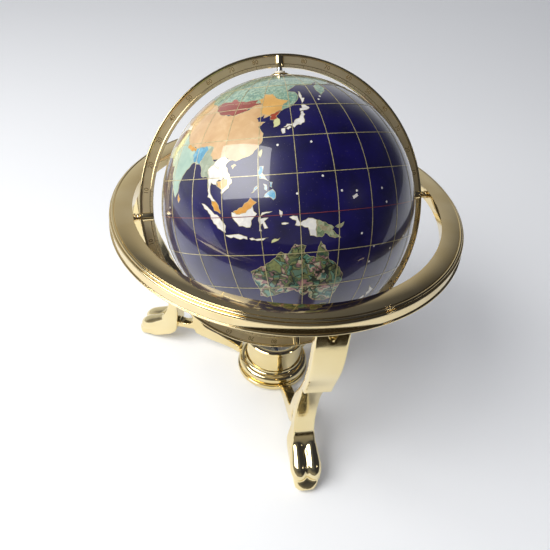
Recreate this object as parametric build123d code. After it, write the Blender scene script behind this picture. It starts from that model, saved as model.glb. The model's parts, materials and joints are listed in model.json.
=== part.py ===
from build123d import *
import math
import os

# Gemstone-inlay globe in a full meridian ring, which tilts in a horizon ring on a three-legged stand
# with a compass at its centre. Millimetres, +Z up. The origin is on the table, under the globe's centre.
# The tilt axis lies along X. At rest the north pole leans towards +Y.

# ---- Driving dimensions -------------------------------------------------------------------------------

# Globe
GLOBE_RADIUS = 110.0          # polished stone surface
STONE_THICKNESS = 2.4
CORE_WALL = 3.0
BAND_HEIGHT = 16.0            # joint band inside the core, at the equator
BAND_WALL = 2.0
CAP_RADIUS = 9.0              # polar cap
CAP_HEIGHT = 2.4
BUSH_RADIUS = 7.0             # bearing bush at each pole
BUSH_LENGTH = 12.0
BUSH_RECESS = 1.0             # outer end of a polar bush below the stone surface
WASHER_RADIUS = 4.6
WASHER_THICKNESS = 1.6

# Meridian ring, which turns about the tilt axis
REST_TILT = 30.7              # lean of the polar axis from the vertical at rest
MERIDIAN_GAP = 7.0            # globe to ring
MERIDIAN_WIDTH = 11.2         # radial
MERIDIAN_THICKNESS = 6.0
MERIDIAN_RIM = 1.8            # raised outer rim, radial
MERIDIAN_RECESS = 0.8         # depth of the numbered band below the rim
MERIDIAN_SCALE = 2.5          # inner band that carries the degree marks, radial
MERIDIAN_SCALE_RISE = 0.35
BOSS_RADIUS = 4.2             # the four bosses that cross the numbered band
PIN_RADIUS = 2.5              # tilt pins and polar pins
PIN_COLLAR_RADIUS = 3.3
PIN_HOLD = 6.0                # length of a pin inside its boss
EDGE_BREAK = 0.5              # bevel on the outer corners of the ring
STEP_BREAK = 0.3              # bevel on the steps between its bands

# Horizon ring
AXIS_HEIGHT = 208.0           # tilt axis above the table
HORIZON_GAP = 5.9             # meridian ring to horizon ring
HORIZON_FLAT = 14.6           # radial width of the flat top
HORIZON_EDGE = 5.4            # radial width of the moulded edge
HORIZON_RISE = 4.5            # top face above the tilt axis
HORIZON_DROP = 8.5            # lower lip below the tilt axis
HORIZON_INNER_DROP = 6.0      # foot of the inner wall below the tilt axis
HORIZON_WALL = 3.0
HORIZON_PLATE = 3.2
BEAD_RADIUS = 1.35
LIP_HEIGHT = 1.4
LIP_OVERHANG = 1.1
LUG_WIDTH = 18.0              # solid blocks under the plate at the pivots and the legs
PIVOT_BUSH_RADIUS = 3.3
PIVOT_BUSH_LENGTH = 12.0
PIVOT_FLANGE_RADIUS = 3.6
PIVOT_FLANGE_LENGTH = 2.6
PIVOT_END_GAP = 0.5           # tip of a tilt pin to the blind end of its bush
PIVOT_END_WALL = 1.5          # metal beyond the bush's bore

# Legs
LEG_AZIMUTHS = {"front": -92.0, "left": 147.5, "right": 27.5}
LEG_TURNS = {"front": -3.0, "left": 3.0, "right": 0.0}   # each leg as fastened, turned about its top screw
LEG_TOP_WIDTH = 26.0
LEG_KNEE_WIDTH = 23.5
LEG_SHANK_WIDTH = 19.5
LEG_FOOT_WIDTH = 25.0
LEG_SOLE_WIDTH = 20.0
LEG_DEPTH = 9.0
LEG_SETBACK = 2.0             # leg's outer face inside the lip of the horizon ring
WAIST_RADIUS = 114.5          # middle of the shank from the stand's axis
WAIST_HEIGHT = 62.0
SOLE_REACH = 158.0            # front of the sole from the stand's axis
SOLE_LENGTH = 22.0
SOLE_CORNER = 12.0            # rounding of the front of the sole, seen from above
TOE_LENGTH = 44.0             # each of the two toe lobes
TOE_RADIUS = 7.8
TOE_SPREAD = 6.4              # lobe centre from the middle of the foot
TOE_SETBACK = 5.5             # toe tips behind the front of the sole
TOE_TIP_HEIGHT = 12.5
TOE_FALL = 32.0               # slope of the lobes, in degrees below the horizontal
NOTCH_WIDTH = 10.0
NOTCH_DEPTH = 10.0
ARM_WIDTH = 11.0              # strut and arm from the leg to the hub
ARM_RISE = 11.0               # top of the arm above the table where it meets the hub
TONGUE_WIDTH = 9.0
TONGUE_COVER = 1.0            # hub base left above and below the tongue
PAD_THICKNESS = 2.0
PAD_RADIUS = 8.0

# Hub and compass
HUB_BASE_RADIUS = 37.5
HUB_BASE_THICKNESS = 5.0
HUB_BEAD_RADIUS = 5.2
HUB_BODY_RADIUS = 29.0
HUB_BODY_TOP = 42.0
COMPASS_BORE = 25.5
COMPASS_DEPTH = 12.0
BEZEL_HEIGHT = 6.0
BEZEL_OVERHANG = 1.4
BEZEL_LIP = 1.5               # how far the bezel reaches in over the glass
GLASS_SEAT = 1.0              # width of the ledge that the glass lies on
GLASS_THICKNESS = 1.6
DIAL_THICKNESS = 1.0
NEEDLE_LENGTH = 40.0
NEEDLE_WIDTH = 5.0
NEEDLE_THICKNESS = 0.6
NEEDLE_GAP = 3.0              # needle above the dial
POST_RADIUS = 1.2
JEWEL_RADIUS = 2.4
JEWEL_LEDGE = 0.8             # how far the jewel's rim lies over the needle

# Screws
SCREW_RADIUS = 2.0
SCREW_HEAD_RADIUS = 3.6
SCREW_HEAD_HEIGHT = 2.2
LEG_SCREW_LENGTH = 8.0
HUB_SCREW_LENGTH = 9.0
HUB_SCREW_SINK = 0.7          # depth that the heads are let into the hub base

# Fits
RUNNING_FIT = 0.05            # radial, pin in a bush
SNUG_FIT = 0.02               # radial, pin held in a boss or a bush held in its bore
FACE_GAP = 0.3                # between parts that turn past each other
SEAT_GAP = 0.1                # between a part and the pocket that holds it

# ---- Sizes that follow --------------------------------------------------------------------------------

CORE_RADIUS = GLOBE_RADIUS - STONE_THICKNESS
CORE_INNER = CORE_RADIUS - CORE_WALL
RING_INNER = GLOBE_RADIUS + MERIDIAN_GAP
RING_OUTER = RING_INNER + MERIDIAN_WIDTH
HORIZON_INNER = RING_OUTER + HORIZON_GAP
HORIZON_CREASE = HORIZON_INNER + HORIZON_FLAT
HORIZON_OUTER = HORIZON_CREASE + HORIZON_EDGE
LIP_UNDERSIDE = AXIS_HEIGHT - HORIZON_DROP
HUB_BASE_BOTTOM = PAD_THICKNESS
HUB_BASE_TOP = HUB_BASE_BOTTOM + HUB_BASE_THICKNESS
COMPASS_FLOOR = HUB_BODY_TOP - COMPASS_DEPTH
DIAL_TOP = COMPASS_FLOOR + DIAL_THICKNESS
NEEDLE_HEIGHT = DIAL_TOP + NEEDLE_GAP
LEG_FACE = HORIZON_OUTER - LEG_SETBACK
LEG_BACK = LEG_FACE - LEG_DEPTH
LEG_SCREW_PLACE = LEG_BACK - SCREW_HEAD_RADIUS - 1.0
FLANGE_INNER = LEG_SCREW_PLACE - SCREW_HEAD_RADIUS - 0.5
FLANGE_THICKNESS = 3.0
TONGUE_START = HUB_BASE_RADIUS - 11.0
HUB_SCREW_PLACE = HUB_BASE_RADIUS - 5.5
PAD_PLACE = SOLE_REACH - SOLE_LENGTH / 2 - 3.0


# ---- Helpers ------------------------------------------------------------------------------------------


def turned(section):
    """Solid of revolution about Z from a section drawn as (radius, height)."""
    return revolve(Plane.XZ * section, Axis.Z)


def radial_rod(radius, start, end):
    """Cylinder along +X from one distance to another."""
    return Pos((start + end) / 2, 0, 0) * Rot(0, 90, 0) * Cylinder(radius, end - start)


def tilted(shape):
    """Place a part drawn about the upright polar axis at the rest tilt and the axis height."""
    return Pos(0, 0, AXIS_HEIGHT) * Rot(-REST_TILT, 0, 0) * shape


def box_between(low, high):
    size = [b - a for a, b in zip(low, high)]
    middle = [(a + b) / 2 for a, b in zip(low, high)]
    return Pos(*middle) * Box(*size)


def write(shape, name):
    shape.label = name
    export_step(shape, f"parts/{name}.step")


# ---- Globe --------------------------------------------------------------------------------------------


def shell_half(outer, inner, top):
    """Half of a hollow sphere, above or below the equator."""
    ball = Sphere(outer) - Sphere(inner)
    half = box_between((-outer - 1, -outer - 1, 0), (outer + 1, outer + 1, outer + 1))
    return ball & (half if top else Rot(180, 0, 0) * half)


def core_half(top):
    """Moulded half of the core, bored at its pole for the bearing bush."""
    bore = Cylinder(BUSH_RADIUS + SNUG_FIT, 3 * GLOBE_RADIUS)
    return shell_half(CORE_RADIUS, CORE_INNER, top) - bore


def core_joint_band():
    """Band glued inside both halves. Its outside follows the hollow of the core."""
    hollow = Sphere(CORE_INNER - SEAT_GAP)
    tube = Cylinder(CORE_INNER, BAND_HEIGHT) - Cylinder(CORE_INNER - BAND_WALL - 0.6, BAND_HEIGHT)
    return hollow & tube


def stone_shell():
    """The layer of cut stone on the core, with a hole at each pole for the bush."""
    bore = Cylinder(BUSH_RADIUS + SNUG_FIT, 3 * GLOBE_RADIUS)
    return Sphere(GLOBE_RADIUS) - Sphere(CORE_RADIUS) - bore


def polar_bush():
    """Bush at the north pole, flush with the core's outside and bored for the polar pin."""
    top = GLOBE_RADIUS - BUSH_RECESS
    body = Pos(0, 0, top - BUSH_LENGTH / 2) * Cylinder(BUSH_RADIUS, BUSH_LENGTH)
    bore = Pos(0, 0, top) * Cylinder(PIN_RADIUS + RUNNING_FIT, 3 * BUSH_LENGTH)
    return body - bore


def polar_cap():
    """Low dome that covers the pole. Its underside follows the globe."""
    crown_radius = (CAP_RADIUS**2 + CAP_HEIGHT**2) / (2 * CAP_HEIGHT)
    foot = math.sqrt(GLOBE_RADIUS**2 - CAP_RADIUS**2)
    dome = Pos(0, 0, foot + CAP_HEIGHT - crown_radius) * Sphere(crown_radius)
    column = Pos(0, 0, GLOBE_RADIUS) * Cylinder(CAP_RADIUS, 4 * CAP_HEIGHT)
    bore = Pos(0, 0, GLOBE_RADIUS) * Cylinder(PIN_RADIUS + FACE_GAP, 8 * CAP_HEIGHT)
    return (dome & column) - Sphere(GLOBE_RADIUS) - bore


def polar_washer():
    """Nylon washer between the cap and the meridian ring."""
    foot = math.sqrt(GLOBE_RADIUS**2 - CAP_RADIUS**2)
    low = foot + CAP_HEIGHT + SEAT_GAP
    ring = Cylinder(WASHER_RADIUS, WASHER_THICKNESS) - Cylinder(PIN_RADIUS + RUNNING_FIT, WASHER_THICKNESS)
    return Pos(0, 0, low + WASHER_THICKNESS / 2) * ring


# ---- Meridian ring ------------------------------------------------------------------------------------


def meridian_section():
    """Half of the ring's section, as (radius, distance from its middle plane), above the middle."""
    half = MERIDIAN_THICKNESS / 2
    band = half - MERIDIAN_RECESS
    rim_foot = RING_OUTER - MERIDIAN_RIM
    scale_edge = RING_INNER + MERIDIAN_SCALE
    scale = band + MERIDIAN_SCALE_RISE
    return [
        (RING_INNER, scale - EDGE_BREAK),
        (RING_INNER + EDGE_BREAK, scale),
        (scale_edge, scale),
        (scale_edge + STEP_BREAK, band),
        (rim_foot - STEP_BREAK, band),
        (rim_foot, half - STEP_BREAK),
        (rim_foot + STEP_BREAK, half),
        (RING_OUTER - EDGE_BREAK, half),
        (RING_OUTER, half - EDGE_BREAK),
    ]


def meridian_ring():
    """Cast ring with raised rim, numbered band, scale band and four bosses with blind pin bores."""
    upper = meridian_section()
    lower = [(radius, -height) for radius, height in reversed(upper)]
    ring = turned(make_face(Polyline(*upper, *lower, close=True)))
    boss = radial_rod(BOSS_RADIUS, RING_INNER + 0.4, RING_OUTER - MERIDIAN_RIM)
    for turn in range(4):
        ring += Rot(0, 0, 90 * turn) * boss
    tilt_bore = radial_rod(PIN_RADIUS + SNUG_FIT, RING_OUTER - PIN_HOLD, RING_OUTER + 5)
    polar_bore = radial_rod(PIN_RADIUS + SNUG_FIT, RING_INNER - 5, RING_INNER + PIN_HOLD)
    for turn in (0, 180):
        ring -= Rot(0, 0, turn) * tilt_bore
        ring -= Rot(0, 0, turn + 90) * polar_bore
    return Rot(90, 0, 0) * ring


def tilt_pin():
    """Pin along +X: held in the meridian ring's boss, with a rounded collar, turning in the pivot bush."""
    collar_end = HORIZON_INNER - PIVOT_FLANGE_LENGTH - FACE_GAP
    tip = HORIZON_INNER + PIVOT_BUSH_LENGTH - PIVOT_END_WALL - PIVOT_END_GAP
    shaft = radial_rod(PIN_RADIUS, RING_OUTER - PIN_HOLD + SEAT_GAP, tip)
    collar = radial_rod(PIN_COLLAR_RADIUS, RING_OUTER + SEAT_GAP, collar_end)
    collar = fillet(collar.edges(), (collar_end - RING_OUTER) * 0.3)
    return shaft + collar


def polar_pin():
    """Pin along +Z: held in the boss at the pole and turning in the globe's bush."""
    low = GLOBE_RADIUS - BUSH_LENGTH + BUSH_RECESS
    high = RING_INNER + PIN_HOLD - SEAT_GAP
    return Pos(0, 0, (low + high) / 2) * Cylinder(PIN_RADIUS, high - low)


# ---- Horizon ring -------------------------------------------------------------------------------------


def horizon_section():
    """Section of the ring, as (radius, height above the tilt axis), open below between its walls."""
    top = HORIZON_RISE
    step = top - 2 * BEAD_RADIUS
    wall_outer = HORIZON_OUTER - LIP_OVERHANG
    outline = [
        (HORIZON_INNER, top - 0.4),
        (HORIZON_INNER + 0.4, top),
        (HORIZON_CREASE, top),
        (HORIZON_CREASE + 0.3, top - 0.5),
        (HORIZON_CREASE + BEAD_RADIUS, step),
        (wall_outer, step - BEAD_RADIUS),
        (wall_outer, -HORIZON_DROP + LIP_HEIGHT),
        (HORIZON_OUTER, -HORIZON_DROP + LIP_HEIGHT - 0.3),
        (HORIZON_OUTER, -HORIZON_DROP + 0.3),
        (HORIZON_OUTER - 0.3, -HORIZON_DROP),
        (wall_outer - HORIZON_WALL, -HORIZON_DROP),
        (wall_outer - HORIZON_WALL, top - HORIZON_PLATE),
        (HORIZON_INNER + HORIZON_WALL, top - HORIZON_PLATE),
        (HORIZON_INNER + HORIZON_WALL, -HORIZON_INNER_DROP),
        (HORIZON_INNER, -HORIZON_INNER_DROP),
    ]
    section = make_face(Polyline(*outline, close=True))
    section += Pos(HORIZON_CREASE + BEAD_RADIUS + 0.3, top - BEAD_RADIUS - 0.2) * Circle(BEAD_RADIUS)
    section += Pos(wall_outer - 0.9, step - 0.6) * Circle(BEAD_RADIUS)
    return section


def horizon_lug(low):
    """Solid block along +X under the plate, between the two walls."""
    outer = HORIZON_OUTER - LIP_OVERHANG - HORIZON_WALL / 2
    inner = HORIZON_INNER + HORIZON_WALL / 2
    half = LUG_WIDTH / 2
    reach = math.sqrt(outer**2 - half**2)
    return box_between((inner, -half, low), (reach, half, HORIZON_RISE - HORIZON_PLATE / 2))


def horizon_ring():
    """Turned ring with hollow underside, pivot lugs and leg lugs."""
    ring = turned(horizon_section())
    bush_bore = radial_rod(PIVOT_BUSH_RADIUS + SNUG_FIT, HORIZON_INNER - 5, HORIZON_INNER + PIVOT_BUSH_LENGTH)
    for turn in (0, 180):
        ring += Rot(0, 0, turn) * horizon_lug(-HORIZON_INNER_DROP)
        ring -= Rot(0, 0, turn) * bush_bore
    screw_hole = Cylinder(SCREW_RADIUS + SNUG_FIT, 2 * LEG_SCREW_LENGTH)
    screw_bore = Pos(LEG_SCREW_PLACE, 0, -HORIZON_DROP) * screw_hole
    for azimuth in LEG_AZIMUTHS.values():
        ring += Rot(0, 0, azimuth) * horizon_lug(-HORIZON_DROP)
        ring -= Rot(0, 0, azimuth) * screw_bore
    return Pos(0, 0, AXIS_HEIGHT) * ring


def pivot_bush():
    """Flanged bush along +X in the horizon ring's inner wall, blind at its far end."""
    barrel = radial_rod(PIVOT_BUSH_RADIUS, HORIZON_INNER, HORIZON_INNER + PIVOT_BUSH_LENGTH - SEAT_GAP)
    flange_start = HORIZON_INNER - PIVOT_FLANGE_LENGTH
    flange = radial_rod(PIVOT_FLANGE_RADIUS, flange_start, HORIZON_INNER - SEAT_GAP)
    flange = fillet(flange.edges(), PIVOT_FLANGE_LENGTH * 0.4)
    neck = radial_rod(PIVOT_BUSH_RADIUS - 0.2, HORIZON_INNER - 1, HORIZON_INNER + 1)
    bore_end = HORIZON_INNER + PIVOT_BUSH_LENGTH - PIVOT_END_WALL
    return barrel + flange + neck - radial_rod(PIN_RADIUS + RUNNING_FIT, flange_start - 1, bore_end)


# ---- Legs ---------------------------------------------------------------------------------------------


def strap_profile():
    """Side view of the leg from the horizon ring to the toe, as (radius, height)."""
    knee = (LEG_FACE - 11.5, LIP_UNDERSIDE - 79)
    waist = WAIST_RADIUS + LEG_DEPTH / 2
    outer = Spline(
        (LEG_FACE, LIP_UNDERSIDE),
        (LEG_FACE + 0.5, LIP_UNDERSIDE - 25),
        (LEG_FACE - 2, LIP_UNDERSIDE - 47),
        (LEG_FACE - 8, LIP_UNDERSIDE - 66),
        knee,
    )
    lip = (knee[0] - 5, knee[1] - 4.5)
    tuck = (knee[0] - 10, knee[1] - 6)
    shank = Spline(
        tuck,
        (waist + 6, WAIST_HEIGHT + 36),
        (waist, WAIST_HEIGHT),
        (waist + 3, WAIST_HEIGHT - 18),
        (SOLE_REACH - 24, WAIST_HEIGHT - 35),
        (SOLE_REACH - 8, WAIST_HEIGHT - 48),
        (SOLE_REACH, PAD_THICKNESS + 4),
    )
    heel = WAIST_RADIUS - LEG_DEPTH / 2
    arch = Spline(
        (SOLE_REACH - SOLE_LENGTH, PAD_THICKNESS),
        (SOLE_REACH - SOLE_LENGTH - 12, PAD_THICKNESS + 7),
        (heel + 1.5, PAD_THICKNESS + 17),
        (heel, PAD_THICKNESS + 24),
    )
    back = Spline(
        (heel, PAD_THICKNESS + 24),
        (heel, WAIST_HEIGHT),
        (heel + 7, WAIST_HEIGHT + 36),
        (LEG_BACK - 10, LIP_UNDERSIDE - 71),
        (LEG_BACK - 3, LIP_UNDERSIDE - 50),
        (LEG_BACK, LIP_UNDERSIDE - 25),
        (LEG_BACK, LIP_UNDERSIDE - FLANGE_THICKNESS),
    )
    return make_face(
        outer
        + Polyline(knee, lip, tuck)
        + shank
        + Polyline(shank @ 1, (SOLE_REACH - 2, PAD_THICKNESS), arch @ 0)
        + arch
        + back
        + Polyline(
            back @ 1,
            (FLANGE_INNER, LIP_UNDERSIDE - FLANGE_THICKNESS),
            (FLANGE_INNER, LIP_UNDERSIDE),
            outer @ 0,
        )
    )


def strap_front():
    """Front view of the leg: its half width against height, mirrored about the middle."""
    side = [
        (LEG_TOP_WIDTH / 2, LIP_UNDERSIDE),
        (LEG_TOP_WIDTH / 2, LIP_UNDERSIDE - 30),
        (LEG_KNEE_WIDTH / 2, LIP_UNDERSIDE - 79),
        (LEG_SHANK_WIDTH / 2, WAIST_HEIGHT + 36),
        (LEG_SHANK_WIDTH / 2, WAIST_HEIGHT),
        (LEG_SHANK_WIDTH / 2 + 0.4, WAIST_HEIGHT - 24),
        (LEG_FOOT_WIDTH / 2, WAIST_HEIGHT - 40),
        (LEG_FOOT_WIDTH / 2, PAD_THICKNESS + 12),
        (LEG_SOLE_WIDTH / 2, PAD_THICKNESS),
    ]
    right = Spline(*side[:3]) + Spline(*side[2:])
    left = mirror(right, Plane.YZ)
    top = Line(left @ 0, right @ 0)
    bottom = Line(right @ 1, left @ 1)
    return make_face(top + right + bottom + left)


def strut_profile():
    """Side view of the strut and arm from the leg to the hub, with the opening behind the shank."""
    heel = WAIST_RADIUS - LEG_DEPTH / 2
    start = HUB_BASE_RADIUS + 0.5
    upper = Spline(
        (start, ARM_RISE),
        (start + 14, 19),
        (heel - 42, 26),
        (heel - 29, 32),
        (heel - 24, 45),
        (heel - 13, 72),
        (heel + 15, 112),
    )
    lower = Spline(
        (heel - 20, PAD_THICKNESS + 15),
        (heel - 28, PAD_THICKNESS + 12),
        (heel - 45, PAD_THICKNESS + 8.5),
        (start, PAD_THICKNESS),
    )
    outline = upper + Polyline(
        upper @ 1,
        (heel + 17, 104),
        (heel + 2, 50),
        (heel + 2, PAD_THICKNESS + 18),
        (heel - 18, PAD_THICKNESS + 20),
        lower @ 0,
    )
    outline += lower + Line(lower @ 1, upper @ 0)
    opening = Spline(
        (heel - 12, 29),
        (heel - 1, 28),
        (heel + 0.5, 50),
        (heel + 2, 78),
        (heel - 4.5, 66),
        (heel - 13, 45),
        periodic=True,
    )
    return make_face(outline) - make_face(opening)


def toe_lobe():
    """Rounded toe: a drop turned about its own axis, then laid along the foot, pointing down and out."""
    drop = Spline(
        (0, 0),
        (TOE_RADIUS * 0.6, TOE_LENGTH * 0.18),
        (TOE_RADIUS * 0.9, TOE_LENGTH * 0.5),
        (TOE_RADIUS, TOE_LENGTH * 0.78),
        (TOE_RADIUS * 0.62, TOE_LENGTH * 0.95),
        (0, TOE_LENGTH),
    )
    solid = revolve(Plane.XZ * make_face(drop + Line(drop @ 1, drop @ 0)), Axis.Z)
    fall = math.radians(TOE_FALL)
    start_radius = SOLE_REACH - TOE_SETBACK - TOE_LENGTH * math.cos(fall)
    start_height = TOE_TIP_HEIGHT + TOE_LENGTH * math.sin(fall)
    return Pos(start_radius, 0, start_height) * Rot(0, 90 + TOE_FALL, 0) * solid


def sole_corners():
    """What is cut from the front of the sole to round its two corners."""
    start = SOLE_REACH - SOLE_CORNER
    block = box_between((start, -LEG_FOOT_WIDTH, 0), (SOLE_REACH + 1, LEG_FOOT_WIDTH, TOE_TIP_HEIGHT))
    return block - Pos(start, 0, 0) * Cylinder(SOLE_CORNER, 3 * TOE_TIP_HEIGHT)


def leg():
    """One cast leg along +X: strap, notched top, two toe lobes, strut and arm with its hub tongue."""
    side = extrude(Plane.XZ * strap_profile(), LEG_FOOT_WIDTH, both=True)
    front = extrude(Plane.YZ * strap_front(), 2 * HORIZON_OUTER)
    body = side & front
    notch = Polyline(
        (-NOTCH_WIDTH / 2, LIP_UNDERSIDE + 1),
        (NOTCH_WIDTH / 2, LIP_UNDERSIDE + 1),
        (0, LIP_UNDERSIDE - NOTCH_DEPTH),
        close=True,
    )
    body -= Pos(LEG_FACE - LEG_DEPTH / 2, 0, 0) * extrude(Plane.YZ * make_face(notch), LEG_DEPTH)
    body -= sole_corners()
    body += extrude(Plane.XZ * strut_profile(), ARM_WIDTH / 2, both=True)
    for side_of_foot in (-1, 1):
        body += Pos(0, side_of_foot * TOE_SPREAD, 0) * toe_lobe()
    tongue = box_between(
        (TONGUE_START, -TONGUE_WIDTH / 2, HUB_BASE_BOTTOM + TONGUE_COVER),
        (HUB_BASE_RADIUS + 2, TONGUE_WIDTH / 2, HUB_BASE_TOP - TONGUE_COVER),
    )
    body += tongue
    body -= Pos(LEG_SCREW_PLACE, 0, LIP_UNDERSIDE) * Cylinder(SCREW_RADIUS + SEAT_GAP, 4 * FLANGE_THICKNESS)
    body -= Pos(HUB_SCREW_PLACE, 0, HUB_BASE_TOP) * Cylinder(SCREW_RADIUS + SEAT_GAP, 4 * HUB_BASE_THICKNESS)
    return body


def foot_pad():
    """Felt disc glued under the toe."""
    return Pos(PAD_PLACE, 0, PAD_THICKNESS / 2) * Cylinder(PAD_RADIUS, PAD_THICKNESS)


def pan_screw(length):
    """Screw pointing up, with its head's seat at height zero."""
    shank = Pos(0, 0, length / 2) * Cylinder(SCREW_RADIUS, length)
    head = Pos(0, 0, -SCREW_HEAD_HEIGHT / 2) * Cylinder(SCREW_HEAD_RADIUS, SCREW_HEAD_HEIGHT)
    slot = box_between(
        (-SCREW_HEAD_RADIUS, -0.5, -SCREW_HEAD_HEIGHT),
        (SCREW_HEAD_RADIUS, 0.5, -SCREW_HEAD_HEIGHT + 1),
    )
    return shank + head - slot


def at_leg(place, shape):
    """Move what is drawn along +X to one leg, turned with it about its top screw."""
    turn = Pos(LEG_SCREW_PLACE, 0, 0) * Rot(0, 0, LEG_TURNS[place]) * Pos(-LEG_SCREW_PLACE, 0, 0)
    return Rot(0, 0, LEG_AZIMUTHS[place]) * turn * shape


def around(shape):
    """Three copies of a part, one for each leg, as separate solids."""
    return Compound(children=[at_leg(place, shape) for place in LEG_AZIMUTHS])


# ---- Hub and compass ----------------------------------------------------------------------------------


def hub_base():
    """Plinth disc with a slot for each leg's tongue and a hole for each hub screw."""
    disc = Pos(0, 0, (HUB_BASE_BOTTOM + HUB_BASE_TOP) / 2) * Cylinder(HUB_BASE_RADIUS, HUB_BASE_THICKNESS)
    slot = box_between(
        (TONGUE_START - SEAT_GAP, -TONGUE_WIDTH / 2 - SEAT_GAP, HUB_BASE_BOTTOM + TONGUE_COVER - SEAT_GAP),
        (HUB_BASE_RADIUS + 5, TONGUE_WIDTH / 2 + SEAT_GAP, HUB_BASE_TOP - TONGUE_COVER + SEAT_GAP),
    )
    hole = Pos(HUB_SCREW_PLACE, 0, HUB_BASE_TOP) * Cylinder(SCREW_RADIUS + SEAT_GAP, 4 * HUB_BASE_THICKNESS)
    head_sink = Cylinder(SCREW_HEAD_RADIUS + SEAT_GAP, 2 * HUB_SCREW_SINK)
    sink = Pos(HUB_SCREW_PLACE, 0, HUB_BASE_BOTTOM) * head_sink
    for place in LEG_AZIMUTHS:
        disc -= at_leg(place, slot + hole + sink)
    return disc


def compass_cup():
    """Turned cup: bead at the foot, cove, plain body, and the compass bowl in its top."""
    low = HUB_BASE_TOP
    bead_middle = low + HUB_BEAD_RADIUS
    bead_centre = HUB_BASE_RADIUS - 1.0 - HUB_BEAD_RADIUS
    cove_top = bead_middle + HUB_BEAD_RADIUS + 3.0
    profile = make_face(
        Polyline((0, low), (bead_centre, low), (bead_centre, bead_middle + HUB_BEAD_RADIUS))
        + RadiusArc((bead_centre, bead_middle + HUB_BEAD_RADIUS), (HUB_BODY_RADIUS, cove_top), 4.0)
        + Polyline(
            (HUB_BODY_RADIUS, cove_top),
            (HUB_BODY_RADIUS, HUB_BODY_TOP),
            (COMPASS_BORE, HUB_BODY_TOP),
            (COMPASS_BORE, COMPASS_FLOOR),
            (0, COMPASS_FLOOR),
            (0, low),
        )
    )
    profile += Pos(bead_centre, bead_middle) * Circle(HUB_BEAD_RADIUS)
    cup = turned(profile)
    cup -= Pos(0, 0, COMPASS_FLOOR) * Cylinder(POST_RADIUS + SNUG_FIT, 8)
    screw_hole = Pos(HUB_SCREW_PLACE, 0, low) * Cylinder(SCREW_RADIUS + SNUG_FIT, 2 * (HUB_SCREW_LENGTH - 2))
    for place in LEG_AZIMUTHS:
        cup -= at_leg(place, screw_hole)
    return cup


def compass_bezel():
    """Rounded ring that holds the glass down on the cup's rim."""
    outer = HUB_BODY_RADIUS + BEZEL_OVERHANG
    inner = COMPASS_BORE - BEZEL_LIP
    ring = Cylinder(outer, BEZEL_HEIGHT) - Cylinder(inner, BEZEL_HEIGHT)
    ring = Pos(0, 0, HUB_BODY_TOP + BEZEL_HEIGHT / 2) * ring
    outer_edges = ring.edges().filter_by(GeomType.CIRCLE).filter_by(lambda edge: edge.radius > outer - 0.01)
    ring = fillet(outer_edges, BEZEL_HEIGHT * 0.4)
    pocket_radius = COMPASS_BORE + GLASS_SEAT
    pocket = Cylinder(pocket_radius, GLASS_THICKNESS + SEAT_GAP)
    pocket = Pos(0, 0, HUB_BODY_TOP + GLASS_THICKNESS / 2) * pocket
    return ring - pocket


def compass_glass():
    lift = SEAT_GAP / 2
    middle = HUB_BODY_TOP + GLASS_THICKNESS / 2
    return Pos(0, 0, middle) * Cylinder(COMPASS_BORE + GLASS_SEAT - SEAT_GAP, GLASS_THICKNESS - lift)


def compass_dial():
    post_hole = Cylinder(POST_RADIUS + SEAT_GAP, DIAL_THICKNESS)
    disc = Cylinder(COMPASS_BORE - SEAT_GAP, DIAL_THICKNESS) - post_hole
    return Pos(0, 0, COMPASS_FLOOR + DIAL_THICKNESS / 2) * disc


def compass_post():
    """Pointed post that carries the needle."""
    foot = COMPASS_FLOOR - 3.8
    cone_foot = NEEDLE_HEIGHT - 2.0
    tip = NEEDLE_HEIGHT + 0.5
    column = Pos(0, 0, (foot + cone_foot) / 2) * Cylinder(POST_RADIUS, cone_foot - foot)
    point = Pos(0, 0, (cone_foot + tip) / 2) * Cone(POST_RADIUS, 0.15, tip - cone_foot)
    return column + point


def compass_needle():
    """Flat lozenge along Y with a central hole for its jewel."""
    half_length = NEEDLE_LENGTH / 2
    half_width = NEEDLE_WIDTH / 2
    lozenge = Polyline((half_width, 0), (0, half_length), (-half_width, 0), (0, -half_length), close=True)
    blade = extrude(make_face(lozenge) - Circle(JEWEL_RADIUS - JEWEL_LEDGE), NEEDLE_THICKNESS)
    return Pos(0, 0, NEEDLE_HEIGHT) * blade


def needle_jewel():
    """Brass cup through the needle, hollow below to sit on the post's point."""
    on_foot = (Align.CENTER, Align.CENTER, Align.MIN)
    spigot = Cylinder(JEWEL_RADIUS - JEWEL_LEDGE - SNUG_FIT, NEEDLE_THICKNESS, align=on_foot)
    hat = Cylinder(JEWEL_RADIUS, 1.6, align=on_foot)
    body = spigot + Pos(0, 0, NEEDLE_THICKNESS) * hat
    hollow = Cone(1.3, 0.45, 1.2, align=on_foot)
    return Pos(0, 0, NEEDLE_HEIGHT) * (body - hollow)


# ---- Write every part ---------------------------------------------------------------------------------

os.makedirs("parts", exist_ok=True)

write(tilted(core_half(True)), "core_north")
write(tilted(core_half(False)), "core_south")
write(tilted(core_joint_band()), "core_joint_band")
write(tilted(stone_shell()), "stone_shell")
for pole, flip in (("north", 0), ("south", 180)):
    write(tilted(Rot(flip, 0, 0) * polar_bush()), f"{pole}_bush")
    write(tilted(Rot(flip, 0, 0) * polar_cap()), f"{pole}_cap")
    write(tilted(Rot(flip, 0, 0) * polar_washer()), f"{pole}_washer")
    write(tilted(Rot(flip, 0, 0) * polar_pin()), f"{pole}_pole_pin")

write(tilted(meridian_ring()), "meridian_ring")
write(horizon_ring(), "horizon_ring")
for side, turn in (("east", 0), ("west", 180)):
    write(Pos(0, 0, AXIS_HEIGHT) * Rot(0, 0, turn) * tilt_pin(), f"{side}_pivot_pin")
    write(Pos(0, 0, AXIS_HEIGHT) * Rot(0, 0, turn) * pivot_bush(), f"{side}_pivot_bush")

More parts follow.
